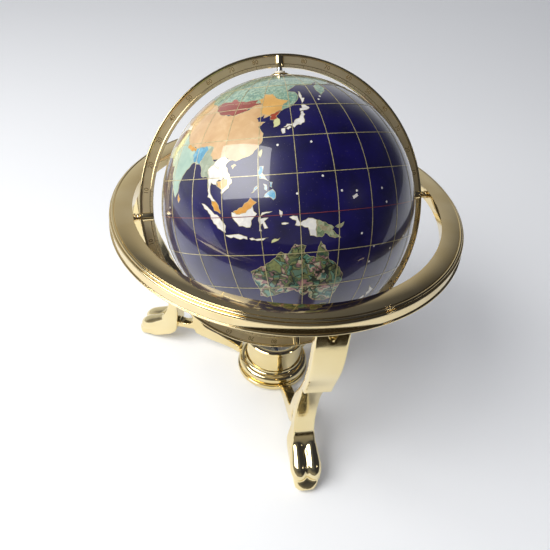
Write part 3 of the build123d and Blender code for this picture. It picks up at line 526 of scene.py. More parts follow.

# %% [markdown]
# The lands are inlays. Each outline is a short list of (longitude, latitude) places in degrees, drawn
# with only the points that its shape needs. An outline is divided into short steps, filled with
# triangles, and bent onto the ball. Later stones lie on earlier ones, so a country may cover part of a
# continent, and a fine gold wire follows each outline as it does on the real globe.

# %% Outlines of the lands
LANDS = [
    ("russia", "green_chip_stone", [
        (28, 70), (41, 67.5), (33, 66.6), (38, 64), (44, 66.2), (44, 68.4), (54, 68.8), (60, 69),
        (68, 68.5), (67, 71.5), (70, 73), (73, 71.5), (72, 66.8), (76, 72), (81, 72), (87, 74.6), (98, 76),
        (104, 77.6), (113, 76), (113, 73.8), (119, 73), (127, 73.4), (129, 71), (140, 72.5), (150, 71.5),
        (160, 69.8), (170, 69.5), (180, 69), (190, 66.3), (185, 65), (178, 64.5), (179, 62.5), (170, 60),
        (163, 59.8), (164, 56), (160, 53), (156.7, 51), (155.6, 54), (156, 57.5), (161, 60.5), (164, 62.5),
        (160, 61.7), (155, 59.3), (142.5, 59.3), (137, 56), (135, 54.7), (140, 53.5), (141, 51), (140, 48),
        (136, 44.5), (131.8, 43.2), (130.7, 42.4), (126, 44), (118, 48), (110, 48), (98, 49), (87.3, 48.5),
        (80, 50), (60, 50), (47, 47), (49, 46), (47.5, 43), (48.5, 41.8), (44, 42.6), (39.8, 43.5),
        (37, 45), (39, 47.2), (36, 50), (31, 52), (28, 56), (28, 59.5), (30.5, 60), (30, 65)]),
    ("sakhalin", "mother_of_pearl", [
        (142.2, 54.2), (143.2, 52), (143, 49.3), (144.6, 49), (143.4, 47), (142.2, 46), (142, 49),
        (141.8, 52)]),
    ("kazakh_steppe", "sand_jasper", [
        (47, 48), (47, 50.5), (54, 51), (60.5, 51), (61, 54), (69, 55.2), (76, 54.2), (80, 51),
        (87.3, 49.2), (85, 47), (80.3, 45), (80, 42.2), (73.6, 39.5), (66, 41), (60, 44.5), (56, 45),
        (53, 45), (50, 46.7)]),
    ("turkestan", "mother_of_pearl", [
        (53, 45), (56, 45), (60, 44.5), (66, 41), (73.6, 39.5), (74.8, 37.3), (66.5, 37.4), (61.2, 35.5),
        (59, 37.8), (54, 37.3), (52.7, 41.5)]),
    ("china", "sand_jasper", [
        (73.6, 39.5), (80, 42.2), (80.3, 45), (85, 47), (87.3, 49.2), (91, 45.2), (96.5, 42.7), (105, 41.6),
        (111.5, 43.5), (116, 46.5), (119.9, 46.8), (117, 49.7), (119.5, 50.5), (120.5, 53.3), (125.5, 53),
        (127.5, 50), (130.8, 48.8), (134.5, 48), (131, 45), (130.6, 42.5), (128, 42), (124.3, 40),
        (121.5, 39), (121.8, 40.8), (118, 39), (119, 37.4), (122.5, 37), (119.3, 35), (121.8, 31.8),
        (121.6, 29), (119.5, 25.6), (116.5, 23), (113.5, 22.2), (110.5, 21.2), (108, 21.6), (105.5, 23),
        (102, 22.5), (99.3, 22.5), (97.7, 24.3), (98.6, 27.7), (92, 27), (88, 28), (81, 30.2), (78.8, 32),
        (76, 35.8)]),
    ("manchuria", "ochre_jasper", [
        (117, 49.7), (119.5, 50.5), (120.5, 53.3), (125.5, 53), (127.5, 50), (130.8, 48.8), (134.5, 48),
        (131, 45), (130.6, 42.5), (128, 42), (124.3, 40), (121.9, 40.8), (119.5, 42), (119.9, 46.8)]),
    ("mongolia", "red_jasper", [
        (87.8, 49.2), (92, 50.8), (98, 50.3), (98.5, 52), (102, 51.4), (102.5, 50.4), (107, 49.8),
        (110, 49.2), (113, 49.7), (116.7, 49.9), (115.6, 47.8), (119.8, 47.2), (116, 46.3), (112, 45),
        (111.5, 43.6), (105, 41.6), (100, 42.6), (96.5, 42.7), (91, 45.2), (88.5, 48)]),
    ("korea_north", "carnelian", [
        (124.3, 40), (128, 42), (130.6, 42.4), (127.5, 39.6), (128.4, 38.6), (126.7, 37.8), (124.8, 38),
        (125.2, 39.6)]),
    ("korea_south", "new_jade", [
        (128.4, 38.6), (129.5, 36.8), (129.3, 35.4), (126.5, 34.3), (126.4, 36.5), (126.7, 37.8)]),
    ("hokkaido", "mother_of_pearl", [
        (140, 41.5), (141.2, 41.8), (143.3, 42), (145.5, 43.3), (144.3, 44), (141.9, 45.5), (141.5, 43.3),
        (140, 42.8)]),
    ("honshu", "mother_of_pearl", [
        (141.4, 41.4), (142, 39.6), (141, 38.2), (140.8, 35.7), (139, 34.7), (137, 34.6), (135.7, 33.5),
        (135, 34.6), (132, 34), (131, 34.1), (132.7, 35.4), (136, 35.8), (137, 37.4), (138.8, 37.9),
        (140, 39.8), (140.2, 41.2)]),
    ("shikoku", "mother_of_pearl", [(132.3, 33.4), (133, 32.8), (134.6, 33.8), (133.5, 34.4)]),
    ("kyushu", "mother_of_pearl", [
        (130, 33.4), (131.7, 33.6), (131.5, 31.4), (130.3, 31.2), (129.8, 32.7)]),
    ("taiwan", "new_jade", [(121.5, 25.2), (120.1, 23.3), (120.9, 21.9), (121.6, 24)]),
    ("hainan", "sand_jasper", [(108.7, 19.3), (110, 20), (110.9, 19.5), (109.5, 18.2)]),
    ("india", "sea_green_agate", [
        (74, 37), (78.8, 32), (81, 30.2), (88, 27.9), (92, 27.8), (97.3, 28.2), (94, 24), (92.3, 21),
        (89, 21.8), (87, 21), (82.3, 16.7), (80.2, 13.3), (79.8, 10.3), (77.5, 8.1), (76.3, 10), (74.8, 13),
        (73, 17), (72.7, 21), (70.3, 20.9), (69, 22.4), (68.2, 23.7), (71, 27.9), (74.5, 31), (74, 34)]),
    ("bengal", "blue_agate", [
        (86.5, 25), (88.5, 27.8), (94.5, 28.4), (96, 26.5), (94, 24), (92.4, 21), (90.5, 22.2),
        (88.6, 21.8)]),
    ("nepal", "amber_jasper", [(80.2, 29), (81.2, 30.2), (84, 29), (88, 27.9), (88, 26.5), (84, 27.3)]),
    ("sri_lanka", "amber_jasper", [(79.8, 8.4), (80.3, 9.7), (81.8, 7.5), (80.6, 6)]),
    ("pakistan", "new_jade", [
        (61.6, 25.2), (66.6, 25), (68.2, 23.7), (71, 27.9), (74.5, 31), (74, 34), (76, 35.8), (74.5, 37.2),
        (71, 34), (66, 29.8), (61, 29.8)]),
    ("afghanistan", "brown_jasper", [
        (61, 35.5), (66.5, 37.4), (71.5, 38), (74.8, 37.3), (71, 34), (66.3, 29.9), (61, 29.8)]),
    ("iran", "grey_green_agate", [
        (44.5, 39.6), (48.8, 38.4), (54, 37.3), (59, 37.8), (61.2, 35.5), (61, 29.8), (61.6, 25.2),
        (57, 27), (51, 28), (48.8, 30.2), (45.7, 33.5)]),
    ("arabia", "ochre_jasper", [
        (34.9, 29.5), (36, 32.5), (42, 37), (45.7, 33.5), (48.5, 30), (50.2, 26.6), (51.6, 24.5),
        (56.3, 26.2), (59.8, 22.5), (55, 17), (45, 13), (43, 13), (39.2, 20.8)]),
    ("turkey", "red_jasper", [
        (26.2, 39.5), (29, 41.2), (35, 42), (41.5, 41.5), (44.5, 39.6), (44.5, 37.2), (36.2, 36.5),
        (30, 36.3), (27.3, 37)]),
    ("levant", "mother_of_pearl", [
        (36, 36.4), (42, 37), (36, 32.5), (34.9, 29.5), (34.4, 31.3), (35.5, 33)]),
    ("europe", "mother_of_pearl", [
        (28, 59.5), (24, 59.3), (24, 57.3), (21.2, 57.3), (21, 55), (19, 54.4), (14, 54), (10.8, 54.2),
        (10.5, 57.5), (8.2, 57), (8.6, 53.9), (4.5, 52.5), (1.6, 50.8), (-1.6, 49.5), (-4.7, 48.4),
        (-1.3, 46), (-1.8, 43.4), (-9, 43.2), (-9.3, 38.8), (-6, 36.8), (-1, 37.5), (0, 39.5), (3.2, 42.2),
        (6, 43.2), (9.5, 44.2), (12.3, 41.5), (16, 38.2), (18.4, 40.2), (13.7, 43.6), (13.6, 45.5),
        (19.4, 42), (22.8, 36.6), (24, 40.2), (28.8, 41.2), (28.7, 44), (31, 46.6), (39, 47.2), (36, 50),
        (31, 52), (28, 56)]),
    ("iberia", "amber_jasper", [
        (-1.8, 43.4), (-9, 43.2), (-9.3, 38.8), (-6, 36.8), (-1, 37.5), (0, 39.5), (3.2, 42.2)]),
    ("france", "sea_green_agate", [
        (-1.6, 49.5), (-4.7, 48.4), (-1.3, 46), (-1.8, 43.4), (3.2, 42.2), (6, 43.2), (7, 44), (6.2, 46.4),
        (8, 49), (4, 50.2), (1.6, 50.8)]),
    ("germany", "ochre_jasper", [
        (6, 51), (7, 53.5), (10.8, 54.2), (14, 54), (15, 51), (12.3, 50.3), (13.7, 48.6), (10, 47.5),
        (8, 49)]),
    ("poland", "red_jasper", [
        (14, 54), (19, 54.4), (23.5, 54), (24, 51), (22.5, 49.2), (18.5, 49.5), (15, 51)]),
    ("ukraine", "new_jade", [
        (24, 51), (31, 52), (36, 50), (39, 47.5), (31, 46.6), (28.7, 45.3), (26, 48), (22.5, 48.6)]),
    ("scandinavia", "sea_green_agate", [
        (28, 71), (31, 69.8), (30, 65), (30.5, 60.6), (22, 60), (21.3, 61.5), (25, 65), (22, 65.7),
        (17.3, 61), (18.8, 59.5), (16.2, 56.5), (12.8, 55.5), (11, 59), (6.5, 58), (5, 61), (10.5, 64),
        (15, 68.5), (22, 70.3)]),
    ("britain", "carnelian", [
        (-5.5, 50.2), (1.3, 51.2), (1.6, 52.8), (-0.5, 54.5), (-2, 57.5), (-5, 58.5), (-5.6, 56), (-3, 54),
        (-4.8, 52)]),
    ("ireland", "new_jade", [(-10, 52), (-6.3, 52.2), (-6, 54.6), (-8.3, 55.2), (-10, 53.8)]),
    ("iceland", "mother_of_pearl", [(-22.5, 64), (-15, 64.4), (-14.8, 66), (-22, 66.2)]),
    ("africa", "sand_jasper", [
        (-6, 35.8), (10, 37.2), (11, 34), (20, 31), (32.5, 31.2), (35, 28), (37, 21), (43, 12), (51, 11.7),
        (47, 4.5), (40.5, -3), (40.5, -14.5), (35.3, -22), (32.5, -28), (27, -33.6), (19.5, -34.6),
        (17.5, -30), (12, -17), (13.5, -9), (9, -1), (9.5, 4), (4, 6.3), (-7.5, 4.4), (-13.3, 9),
        (-17, 14.5), (-16, 20), (-13, 27.7), (-9.7, 31)]),
    ("egypt", "mother_of_pearl", [(25, 31.4), (32.5, 31), (35, 24), (25, 22)]),
    ("sudan", "brown_jasper", [(25, 22), (37, 21.5), (36, 13), (34, 8), (27, 9.5), (23, 15)]),
    ("algeria", "moss_agate", [
        (-1.5, 35), (8.4, 36.8), (9.5, 30), (12, 23.5), (3, 19), (-4.8, 25), (-8.5, 28)]),
    ("nigeria", "carnelian", [(3, 6.4), (3.5, 11.7), (13.5, 13.5), (12, 7), (8.5, 4.6)]),
    ("ethiopia", "amber_jasper", [(36, 14), (42, 12.3), (47, 8), (41, 4), (35, 5.5)]),
    ("congo", "moss_agate", [
        (12.3, -5.8), (18, 4.5), (27, 5), (30, 3), (29, -8.5), (28, -13), (22, -11), (16.5, -7)]),
    ("tanzania", "sea_green_agate", [
        (30, -1), (34, -1), (39, -4.7), (40.3, -10.4), (34.5, -11.5), (29.5, -6.5)]),
    ("angola", "red_jasper", [(12.3, -6), (16.5, -7), (22, -11), (23, -17.5), (12, -17)]),
    ("south_africa", "ochre_jasper", [
        (16.6, -28.6), (20, -25), (29, -22.3), (32.7, -27), (27, -33.5), (19.5, -34.5)]),
    ("madagascar", "sea_green_agate", [
        (49.3, -12), (50.4, -15.5), (47, -25), (44, -25), (43.5, -21.5), (44.5, -16.5)]),
    ("burma", "grey_green_agate", [
        (92.3, 21), (94, 24), (97.3, 28.2), (98.7, 27.5), (97.7, 24.3), (99.3, 22.3), (101, 21.5),
        (97.7, 18.5), (98.8, 15.3), (98.7, 10.2), (97.7, 15.5), (94.4, 16), (93.6, 19.7)]),
    ("siam", "mother_of_pearl", [
        (97.7, 18.5), (100.2, 20.3), (101.2, 19.6), (104, 18.3), (105.6, 15), (102.5, 13.6), (102.9, 11.8),
        (101, 12.7), (100, 13.4), (99.4, 10.5), (100.2, 8.4), (102, 6.3), (100.3, 6.5), (98.4, 8),
        (98.8, 11.8), (98.3, 15)]),
    ("indochina", "mother_of_pearl", [
        (101, 21.5), (102.2, 22.4), (105.4, 23.3), (108, 21.6), (106, 19.5), (108.3, 16), (109.3, 12.8),
        (107, 10.5), (104.8, 8.7), (105, 10.4), (107.5, 12.3), (107.4, 14.3), (105.6, 15), (104, 18.3),
        (101.2, 19.6), (100.2, 20.3)]),
    ("cambodia", "ochre_jasper", [
        (102.5, 13.6), (105.6, 14.4), (107.4, 14.3), (107.5, 12.3), (105, 10.5), (102.9, 11.8)]),
    ("malaya", "amber_jasper", [
        (100.3, 6.5), (102, 6.3), (103.4, 4.5), (104.2, 1.4), (101.4, 2.8), (100.4, 5)]),
    ("sumatra", "mother_of_pearl", [
        (95.3, 5.6), (98, 4.4), (100.5, 2.2), (103.5, 0.2), (106, -3.2), (105.7, -5.8), (102.3, -4),
        (100.3, -1), (98.7, 1.8)]),
    ("java", "mother_of_pearl", [
        (105.3, -6.7), (108.5, -6.6), (111, -6.4), (114.4, -7.6), (114.4, -8.6), (110, -8), (106.5, -7.4)]),
    ("flores", "mother_of_pearl", [(115.2, -8.2), (119, -8.4), (122.8, -8.3), (119.5, -9.1), (116, -8.9)]),
    ("timor", "new_jade", [(124, -9.3), (127.2, -8.4), (125, -9.9), (123.6, -10.3)]),
    ("borneo_south", "mother_of_pearl", [
        (109, 1.9), (111, 1), (114.5, 1.5), (117.5, 4.1), (117.8, 2), (119, 1), (116.6, -1.5), (116, -4),
        (114.5, -4), (111.7, -3.4), (110, -1.3), (109, 0.5)]),
    ("borneo_north", "amber_jasper", [
        (109.6, 2), (111.3, 2.6), (113.5, 3.6), (116.8, 7), (119.2, 5.2), (117.6, 4.1), (114.7, 1.5),
        (111, 1)]),
    ("celebes", "mother_of_pearl", [
        (119.5, -5.5), (119.7, -0.2), (121, 1.3), (125, 1.6), (121.2, 0.5), (120.3, -0.9), (123.3, -0.7),
        (121.6, -1.9), (122.8, -4.5), (121.5, -4.7), (121, -2.7), (120.4, -3), (120.4, -5.6)]),
    ("halmahera", "mother_of_pearl", [(127.5, 2), (128.6, 1.2), (128, -0.8), (127.5, 0.5)]),
    ("seram", "mother_of_pearl", [(128, -2.9), (130.8, -3.1), (129.5, -3.6), (128.2, -3.5)]),
    ("new_guinea_west", "mother_of_pearl", [
        (131, -0.9), (134, -0.8), (135, -3.3), (138, -1.7), (141, -2.6), (141, -9.1), (138.5, -8.3),
        (137.8, -5.2), (133, -4), (133.5, -2.3)]),
    ("new_guinea_east", "moss_agate", [
        (141, -2.6), (144.5, -3.8), (147.8, -6), (147, -6.8), (150.8, -10.3), (147, -9.6), (144, -7.7),
        (143, -9.2), (141, -9.1)]),
    ("new_britain", "moss_agate", [(148.3, -5.7), (152, -4.2), (151.5, -5.6), (149.5, -6.3)]),
    ("luzon", "blue_paua_chips", [
        (120.6, 18.5), (122.2, 18.4), (121.6, 15.8), (124, 12.8), (122, 13.8), (120.6, 13.9), (119.9, 16)]),
    ("mindanao", "blue_paua_chips", [
        (122, 7), (123.4, 8.6), (125.5, 9.7), (126.5, 7.3), (125.5, 5.7), (124, 6.9)]),
    ("panay", "blue_paua_chips", [(122, 11.8), (123.2, 11.4), (123.2, 9.2), (122.3, 9.8)]),
    ("samar", "blue_paua_chips", [(124.3, 12.5), (125.5, 12.2), (125.2, 10.2), (124.4, 10.8)]),
    ("palawan", "blue_paua_chips", [(117.2, 8.5), (119.4, 11.2), (119.7, 10.4), (118, 8.8)]),
    ("australia", "abalone_shell", [
        (113.5, -22), (114.2, -26.5), (115.7, -31.8), (115, -34.2), (118, -35), (124, -33.2),
        (131.2, -31.5), (135.5, -34.8), (138, -33), (138, -35.6), (140.5, -38), (146.3, -39), (150, -37.3),
        (151.5, -33), (153.4, -28.5), (152.8, -25.2), (149, -20.5), (146.2, -18.8), (145.3, -15),
        (142.6, -10.8), (141.6, -13), (140.8, -17.5), (136, -15.3), (136.8, -12.2), (132.5, -11.3),
        (129.7, -15), (127, -14), (122.3, -18), (117, -20.7)]),
    ("tasmania", "abalone_shell", [(144.8, -40.8), (148.3, -41), (147.8, -43.2), (146, -43.5)]),
    ("new_zealand_north", "mother_of_pearl", [
        (172.8, -34.5), (175.5, -36.6), (178.4, -37.7), (176.8, -40), (175.2, -41.6), (174, -39.3),
        (175, -38)]),
    ("new_zealand_south", "mother_of_pearl", [
        (172.7, -40.6), (174.2, -41.6), (171.2, -44.3), (169, -46.6), (166.5, -46), (168.5, -44)]),
    ("alaska", "ochre_jasper", [
        (-168, 65.7), (-161, 66.3), (-166, 68.5), (-156.5, 71.2), (-141, 69.7), (-141, 60.2), (-147, 61),
        (-151.5, 59.3), (-157.5, 56.5), (-164, 54.8), (-158, 58.6), (-164.5, 61), (-161, 64.3)]),
    ("canada", "sea_green_agate", [
        (-141, 69.7), (-128, 70.4), (-115, 68.3), (-108, 67.6), (-96, 68), (-93, 71.5), (-87, 67.5),
        (-82, 69.5), (-87, 64.5), (-94.5, 60), (-92.5, 57), (-82.3, 55.2), (-80, 51.3), (-78.8, 54.5),
        (-77, 57.2), (-78, 62.3), (-70, 60.8), (-64.7, 60.2), (-57, 52.5), (-66, 50.2), (-70.5, 47),
        (-64.8, 49), (-61.5, 45.5), (-66, 44.3), (-67.5, 47), (-71, 45.2), (-75, 45), (-79, 43),
        (-83, 42.1), (-82.5, 46), (-88.5, 48.3), (-95, 49), (-123, 49), (-127.5, 51), (-130.5, 55),
        (-134, 58.5), (-141, 60.2)]),
    ("baffin", "mother_of_pearl", [
        (-80, 73.5), (-72, 71.5), (-62, 66.5), (-66, 63), (-77, 64.5), (-73, 68), (-89, 71)]),
    ("victoria", "ochre_jasper", [(-117, 73), (-106, 73), (-105, 69), (-116, 69.4)]),
    ("ellesmere", "new_jade", [(-90, 80), (-70, 83), (-62, 82.4), (-75, 78.5), (-82, 76.5)]),
    ("united_states", "red_jasper", [
        (-124.5, 48.4), (-123, 49), (-95, 49), (-88.5, 48.3), (-84.5, 46.5), (-82.5, 45), (-83, 42.1),
        (-79, 43), (-75, 45), (-71, 45.2), (-67, 45), (-70.5, 43), (-70, 41.6), (-74, 40.5), (-75.7, 35.5),
        (-81.2, 31), (-80.2, 25.3), (-82.8, 28), (-84.5, 30), (-90, 29.2), (-97.3, 27.8), (-99.5, 27.5),
        (-106.5, 31.7), (-111, 31.3), (-117.1, 32.5), (-120.6, 34.5), (-124.3, 40.3)]),
    ("mexico", "sand_jasper", [
        (-117.1, 32.5), (-111, 31.3), (-106.5, 31.7), (-99.5, 27.5), (-97.3, 25.9), (-97.5, 21),
        (-94.5, 18.2), (-91, 18.7), (-90.4, 21), (-87, 21.4), (-88.2, 18.3), (-92.2, 14.5), (-96, 15.8),
        (-105.5, 20), (-109.5, 25.6), (-112.8, 30.8), (-114.7, 31.5), (-111, 26), (-109.6, 23),
        (-112.2, 25), (-115.8, 30)]),
    ("central_america", "moss_agate", [
        (-92.2, 14.5), (-88.3, 15.8), (-83.3, 15), (-83.7, 11), (-81, 8.8), (-77.3, 8.5), (-80.2, 7.4),
        (-83, 8.3), (-85.8, 11), (-87.6, 13.3)]),
    ("cuba", "amber_jasper", [(-84.8, 21.9), (-80, 23.1), (-74.3, 20.2), (-77.5, 19.9), (-80.5, 21.7)]),
    ("hispaniola", "mother_of_pearl", [
        (-74.3, 18.4), (-73, 19.9), (-69, 19.3), (-68.5, 18.3), (-71.5, 17.8)]),
    ("south_america", "moss_agate", [
        (-77.3, 8.5), (-72, 12), (-62, 10.6), (-52, 4.8), (-50, 0), (-44, -2.5), (-35, -6), (-38.5, -13),
        (-40, -21), (-48.3, -26), (-53.5, -33.5), (-57.5, -38), (-65, -42), (-69, -50.5), (-68, -54.8),
        (-74, -52), (-75.5, -46.5), (-73.5, -38), (-71.3, -28), (-70.3, -18.3), (-76.2, -13.8), (-81.2, -6),
        (-80, 0), (-77.5, 4)]),
    ("argentina", "ochre_jasper", [
        (-68.5, -22.3), (-62.5, -22.3), (-57.6, -27), (-58, -34), (-57.5, -38), (-65, -42), (-69, -50.5),
        (-68, -54.8), (-72, -50), (-71, -38), (-69, -28)]),
    ("peru", "red_jasper", [(-81.2, -6), (-75, 0), (-70, -4), (-70, -18.3), (-76.2, -13.8)]),
    ("bolivia", "mother_of_pearl", [
        (-69.5, -11), (-60.5, -15), (-57.8, -19), (-62.5, -22.3), (-68, -22), (-69.5, -17)]),
    ("colombia", "amber_jasper", [(-77.3, 8.5), (-72, 12), (-67.5, 6), (-70, -4), (-75, 0), (-79, 1.5)]),
    ("greenland", "mother_of_pearl", [
        (-73, 78), (-60, 82), (-30, 83.4), (-18, 80), (-20, 74), (-23, 70.5), (-40, 65), (-43.5, 60),
        (-48.5, 61), (-53.5, 67), (-55, 70), (-60, 76)]),
    ("new_zembla", "green_chip_stone", [(51.5, 71), (56, 73.5), (68, 76.8), (60, 76), (54, 73)]),
    ("spitsbergen", "mother_of_pearl", [(12, 78), (17, 80), (27, 80), (18, 77)]),
    ("antarctica", "mother_of_pearl", [
        (-180, -78), (-160, -78.5), (-150, -77), (-120, -74), (-100, -73), (-75, -72), (-62, -64),
        (-60, -70), (-62, -76), (-40, -78), (-20, -73), (0, -70), (30, -69), (55, -66.5), (80, -68),
        (110, -66.5), (140, -66.8), (160, -70), (168, -77.5), (180, -78), (180, -86), (-180, -86)]),
]
print("lands:", len(LANDS), "outline points:", sum(len(outline) for _, _, outline in LANDS))

# %% [markdown]
# One function bends places onto the ball, one divides an outline, one fills it, and one lays a flat wire
# along a line. The pieces keep the exact normals of the sphere, because a stone globe is ground round
# after the inlays are in. A land that lies on others gets a layer of its own, so no two surfaces meet.

# %% Inlays and wires
INLAY_RISE = 0.05 * MM
LAYER_RISE = 0.035 * MM
INLAY_DEPTH = 0.35 * MM
STEP_DEGREES = 1.6
FILL_DEGREES = 1.7
COAST_WAVE = 0.35


def on_ball(longitude, latitude, radius):
    """Places in degrees to points: centre + R (cos a (cos b . front + sin b . east) + sin a . pole)."""
    a, b = np.radians(latitude)[:, None], np.radians(np.asarray(longitude) - FRONT_LONGITUDE)[:, None]
    return CENTRE + radius * (np.cos(a) * (np.cos(b) * FRONT + np.sin(b) * EAST) + np.sin(a) * POLE)


def divided(line, closed, wobble=0.0):
    """Divide a line of places into steps of STEP_DEGREES at most. A wobble adds a small wave of its height,
    in degrees: side x sin(9.4 t + phase) sin(pi t), with t from 0 to 1 along each side of the outline."""
    corner = np.array(line, float)
    following = np.roll(corner, -1, axis=0) if closed else corner[1:]
    pieces = []
    for start, end in zip(corner if closed else corner[:-1], following):
        across = end - start
        length = math.hypot(across[0] * math.cos(math.radians((start[1] + end[1]) / 2)), across[1])
        t = np.linspace(0, 1, max(1, math.ceil(length / STEP_DEGREES)), endpoint=False)[:, None]
        swing = np.sin(t * 9.4 + start[0] * 3 + start[1]) * np.sin(t * np.pi)
        side = np.array([-across[1], across[0]]) / max(math.hypot(*across), 1e-6)
        pieces.append(start + t * across + side * swing * wobble)
    if not closed:
        pieces.append(corner[-1:])
    return np.concatenate(pieces)


def slab(top, depth_ratio, triangles):
    """A closed slab: the triangles on top, the same ones turned over below, and a wall along the edge."""
    count = len(top)
    lower = CENTRE + (top - CENTRE) * depth_ratio
    sides = np.concatenate([triangles[:, [0, 1]], triangles[:, [1, 2]], triangles[:, [2, 0]]])
    keys = np.sort(sides, axis=1)
    _, first, times = np.unique(keys, axis=0, return_index=True, return_counts=True)
    edge = sides[first[times == 1]]
    wall = np.stack([edge[:, 1], edge[:, 0], edge[:, 0] + count, edge[:, 1] + count], axis=1)
    faces = triangles.tolist() + (triangles[:, ::-1] + count).tolist() + wall.tolist()
    return np.concatenate([top, lower]), faces


def inlay(outline, rise, wobble=COAST_WAVE):
    """Fill an outline with triangles between its border and a grid of FILL_DEGREES, and bend them onto the
    ball."""
    border = divided(outline, True, wobble)
    low, high = border.min(axis=0), border.max(axis=0)
    stretch = 1 / max(math.cos(math.radians(np.abs(border[:, 1]).max())), 0.2)
    across, up = np.meshgrid(np.arange(low[0], high[0], FILL_DEGREES * min(stretch, 2.5)),
                             np.arange(low[1], high[1], FILL_DEGREES), indexing="ij")
    inside = np.stack([across.ravel(), up.ravel()], axis=1)
    places = [Vector(place) for place in np.concatenate([border, inside])]
    loop = [(i, (i + 1) % len(border)) for i in range(len(border))]
    found, _, triangles, *_ = delaunay_2d_cdt(places, loop, [list(range(len(border)))], 1, 1e-5)
    found, triangles = np.array([tuple(p) for p in found]), np.array([tuple(t) for t in triangles])
    top = on_ball(found[:, 0], found[:, 1], RADIUS + rise)
    corners = top[triangles]
    facing = np.cross(corners[:, 1] - corners[:, 0], corners[:, 2] - corners[:, 0])
    inward = (facing * (corners[:, 0] - CENTRE)).sum(axis=1) < 0
    triangles[inward] = triangles[inward][:, ::-1]
    return slab(top, (RADIUS - INLAY_DEPTH) / (RADIUS + rise), triangles)


def ribbon(line, width_mm, rise, closed):
    """A flat wire along places in degrees: each point gives two, half the width to either side."""
    middle = on_ball(line[:, 0], line[:, 1], RADIUS + rise)
    ahead = np.roll(middle, -1, axis=0) - np.roll(middle, 1, axis=0)
    if not closed:
        ahead[0], ahead[-1] = middle[1] - middle[0], middle[-1] - middle[-2]
    outward = (middle - CENTRE) / np.linalg.norm(middle - CENTRE, axis=1)[:, None]
    side = np.cross(outward, ahead)
    side /= np.linalg.norm(side, axis=1)[:, None]
    half = side * width_mm * MM / 2
    top = np.stack([middle - half, middle + half], axis=1).reshape(-1, 3)
    i = np.arange(len(line) if closed else len(line) - 1) * 2
    j = (i + 2) % len(top)
    triangles = np.concatenate([np.stack([i, j, j + 1], axis=1), np.stack([i, j + 1, i + 1], axis=1)])
    return slab(top, (RADIUS - INLAY_DEPTH) / (RADIUS + rise), triangles)


def joined(parts):
    """Several (points, faces) as one."""
    points, faces, start = [], [], 0
    for some_points, some_faces in parts:
        points.append(some_points)
        faces += [[corner + start for corner in face] for face in some_faces]
        start += len(some_points)
    return np.concatenate(points), faces


def globe_piece(name, parts, material):
    """One piece of the globe from (points, faces) parts, with the sphere's normals: (point - centre) / R."""
    points, faces = joined(parts)
    outward = (points - CENTRE) / np.linalg.norm(points - CENTRE, axis=1)[:, None]
    return make_piece(name, points, faces, material, "globe", normals=outward, tidy_up=False)


def covers(outline, places):
    """Whether any of the places lies in the outline: a line to the east crosses its sides an odd number of
    times."""
    start = np.array(outline, float)
    end = np.roll(start, -1, axis=0)
    x, y = places[:, :1], places[:, 1:]
    spans = (start[:, 1] > y) != (end[:, 1] > y)
    rise = np.where(start[:, 1] == end[:, 1], 1, end[:, 1] - start[:, 1])
    crossing = start[:, 0] + (y - start[:, 1]) / rise * (end[:, 0] - start[:, 0])
    return bool((((spans & (x < crossing)).sum(axis=1)) % 2).any())


BORDER_WIRE = 0.3
WIRE_RISE = 0.03 * MM
SHRINK = 0.93
border_wires = []
layers = {}
for land, stone, outline in LANDS:
    middle = np.mean(outline, axis=0)
    within = middle + SHRINK * (divided(outline, True) - middle)
    under = [layers[other] for other, _, shape in LANDS[:len(layers)] if covers(shape, within)]
    layers[land] = max(under, default=-1) + 1
    rise = INLAY_RISE + layers[land] * LAYER_RISE
    globe_piece(f"inlay_{land}", [inlay(outline, rise)], STONES[stone])
    border_wires.append(ribbon(divided(outline, True, COAST_WAVE), BORDER_WIRE, rise + WIRE_RISE, True))
globe_piece("border_wires", border_wires, WIRE_GOLD)
print("inlays made:", len(LANDS), "in layers:", max(layers.values()) + 1)

# %% [markdown]
# A wire lies along every fifteenth meridian and parallel, ground flush over land and sea. The equator is a
# red inlay. A few small islands are dots of shell.

# %% Graticule and small islands
WIRE_STEP = 15
WIRE_WIDTH = 0.48
EQUATOR_WIDTH = 0.45
GRID_RISE = INLAY_RISE + (max(layers.values()) + 1) * LAYER_RISE + 0.02 * MM
TOP_LATITUDE = 83
POINT_STEP = 2.0
northward = np.arange(-TOP_LATITUDE, TOP_LATITUDE + 1, POINT_STEP)
around = np.arange(-180, 180, POINT_STEP)
meridians = [np.column_stack([np.full(len(northward), longitude), northward])
             for longitude in range(-180, 180, WIRE_STEP)]
parallels = [np.column_stack([around, np.full(len(around), latitude)])
             for latitude in range(-75, 76, WIRE_STEP) if latitude]
wires = ([ribbon(line, WIRE_WIDTH, GRID_RISE, False) for line in meridians]
         + [ribbon(line, WIRE_WIDTH, GRID_RISE, True) for line in parallels])
globe_piece("graticule_wires", wires, WIRE_GOLD)
equator = np.column_stack([around, np.zeros(len(around))])
globe_piece("equator_inlay", [ribbon(equator, EQUATOR_WIDTH, GRID_RISE + 0.02 * MM, True)], WIRE_RED)

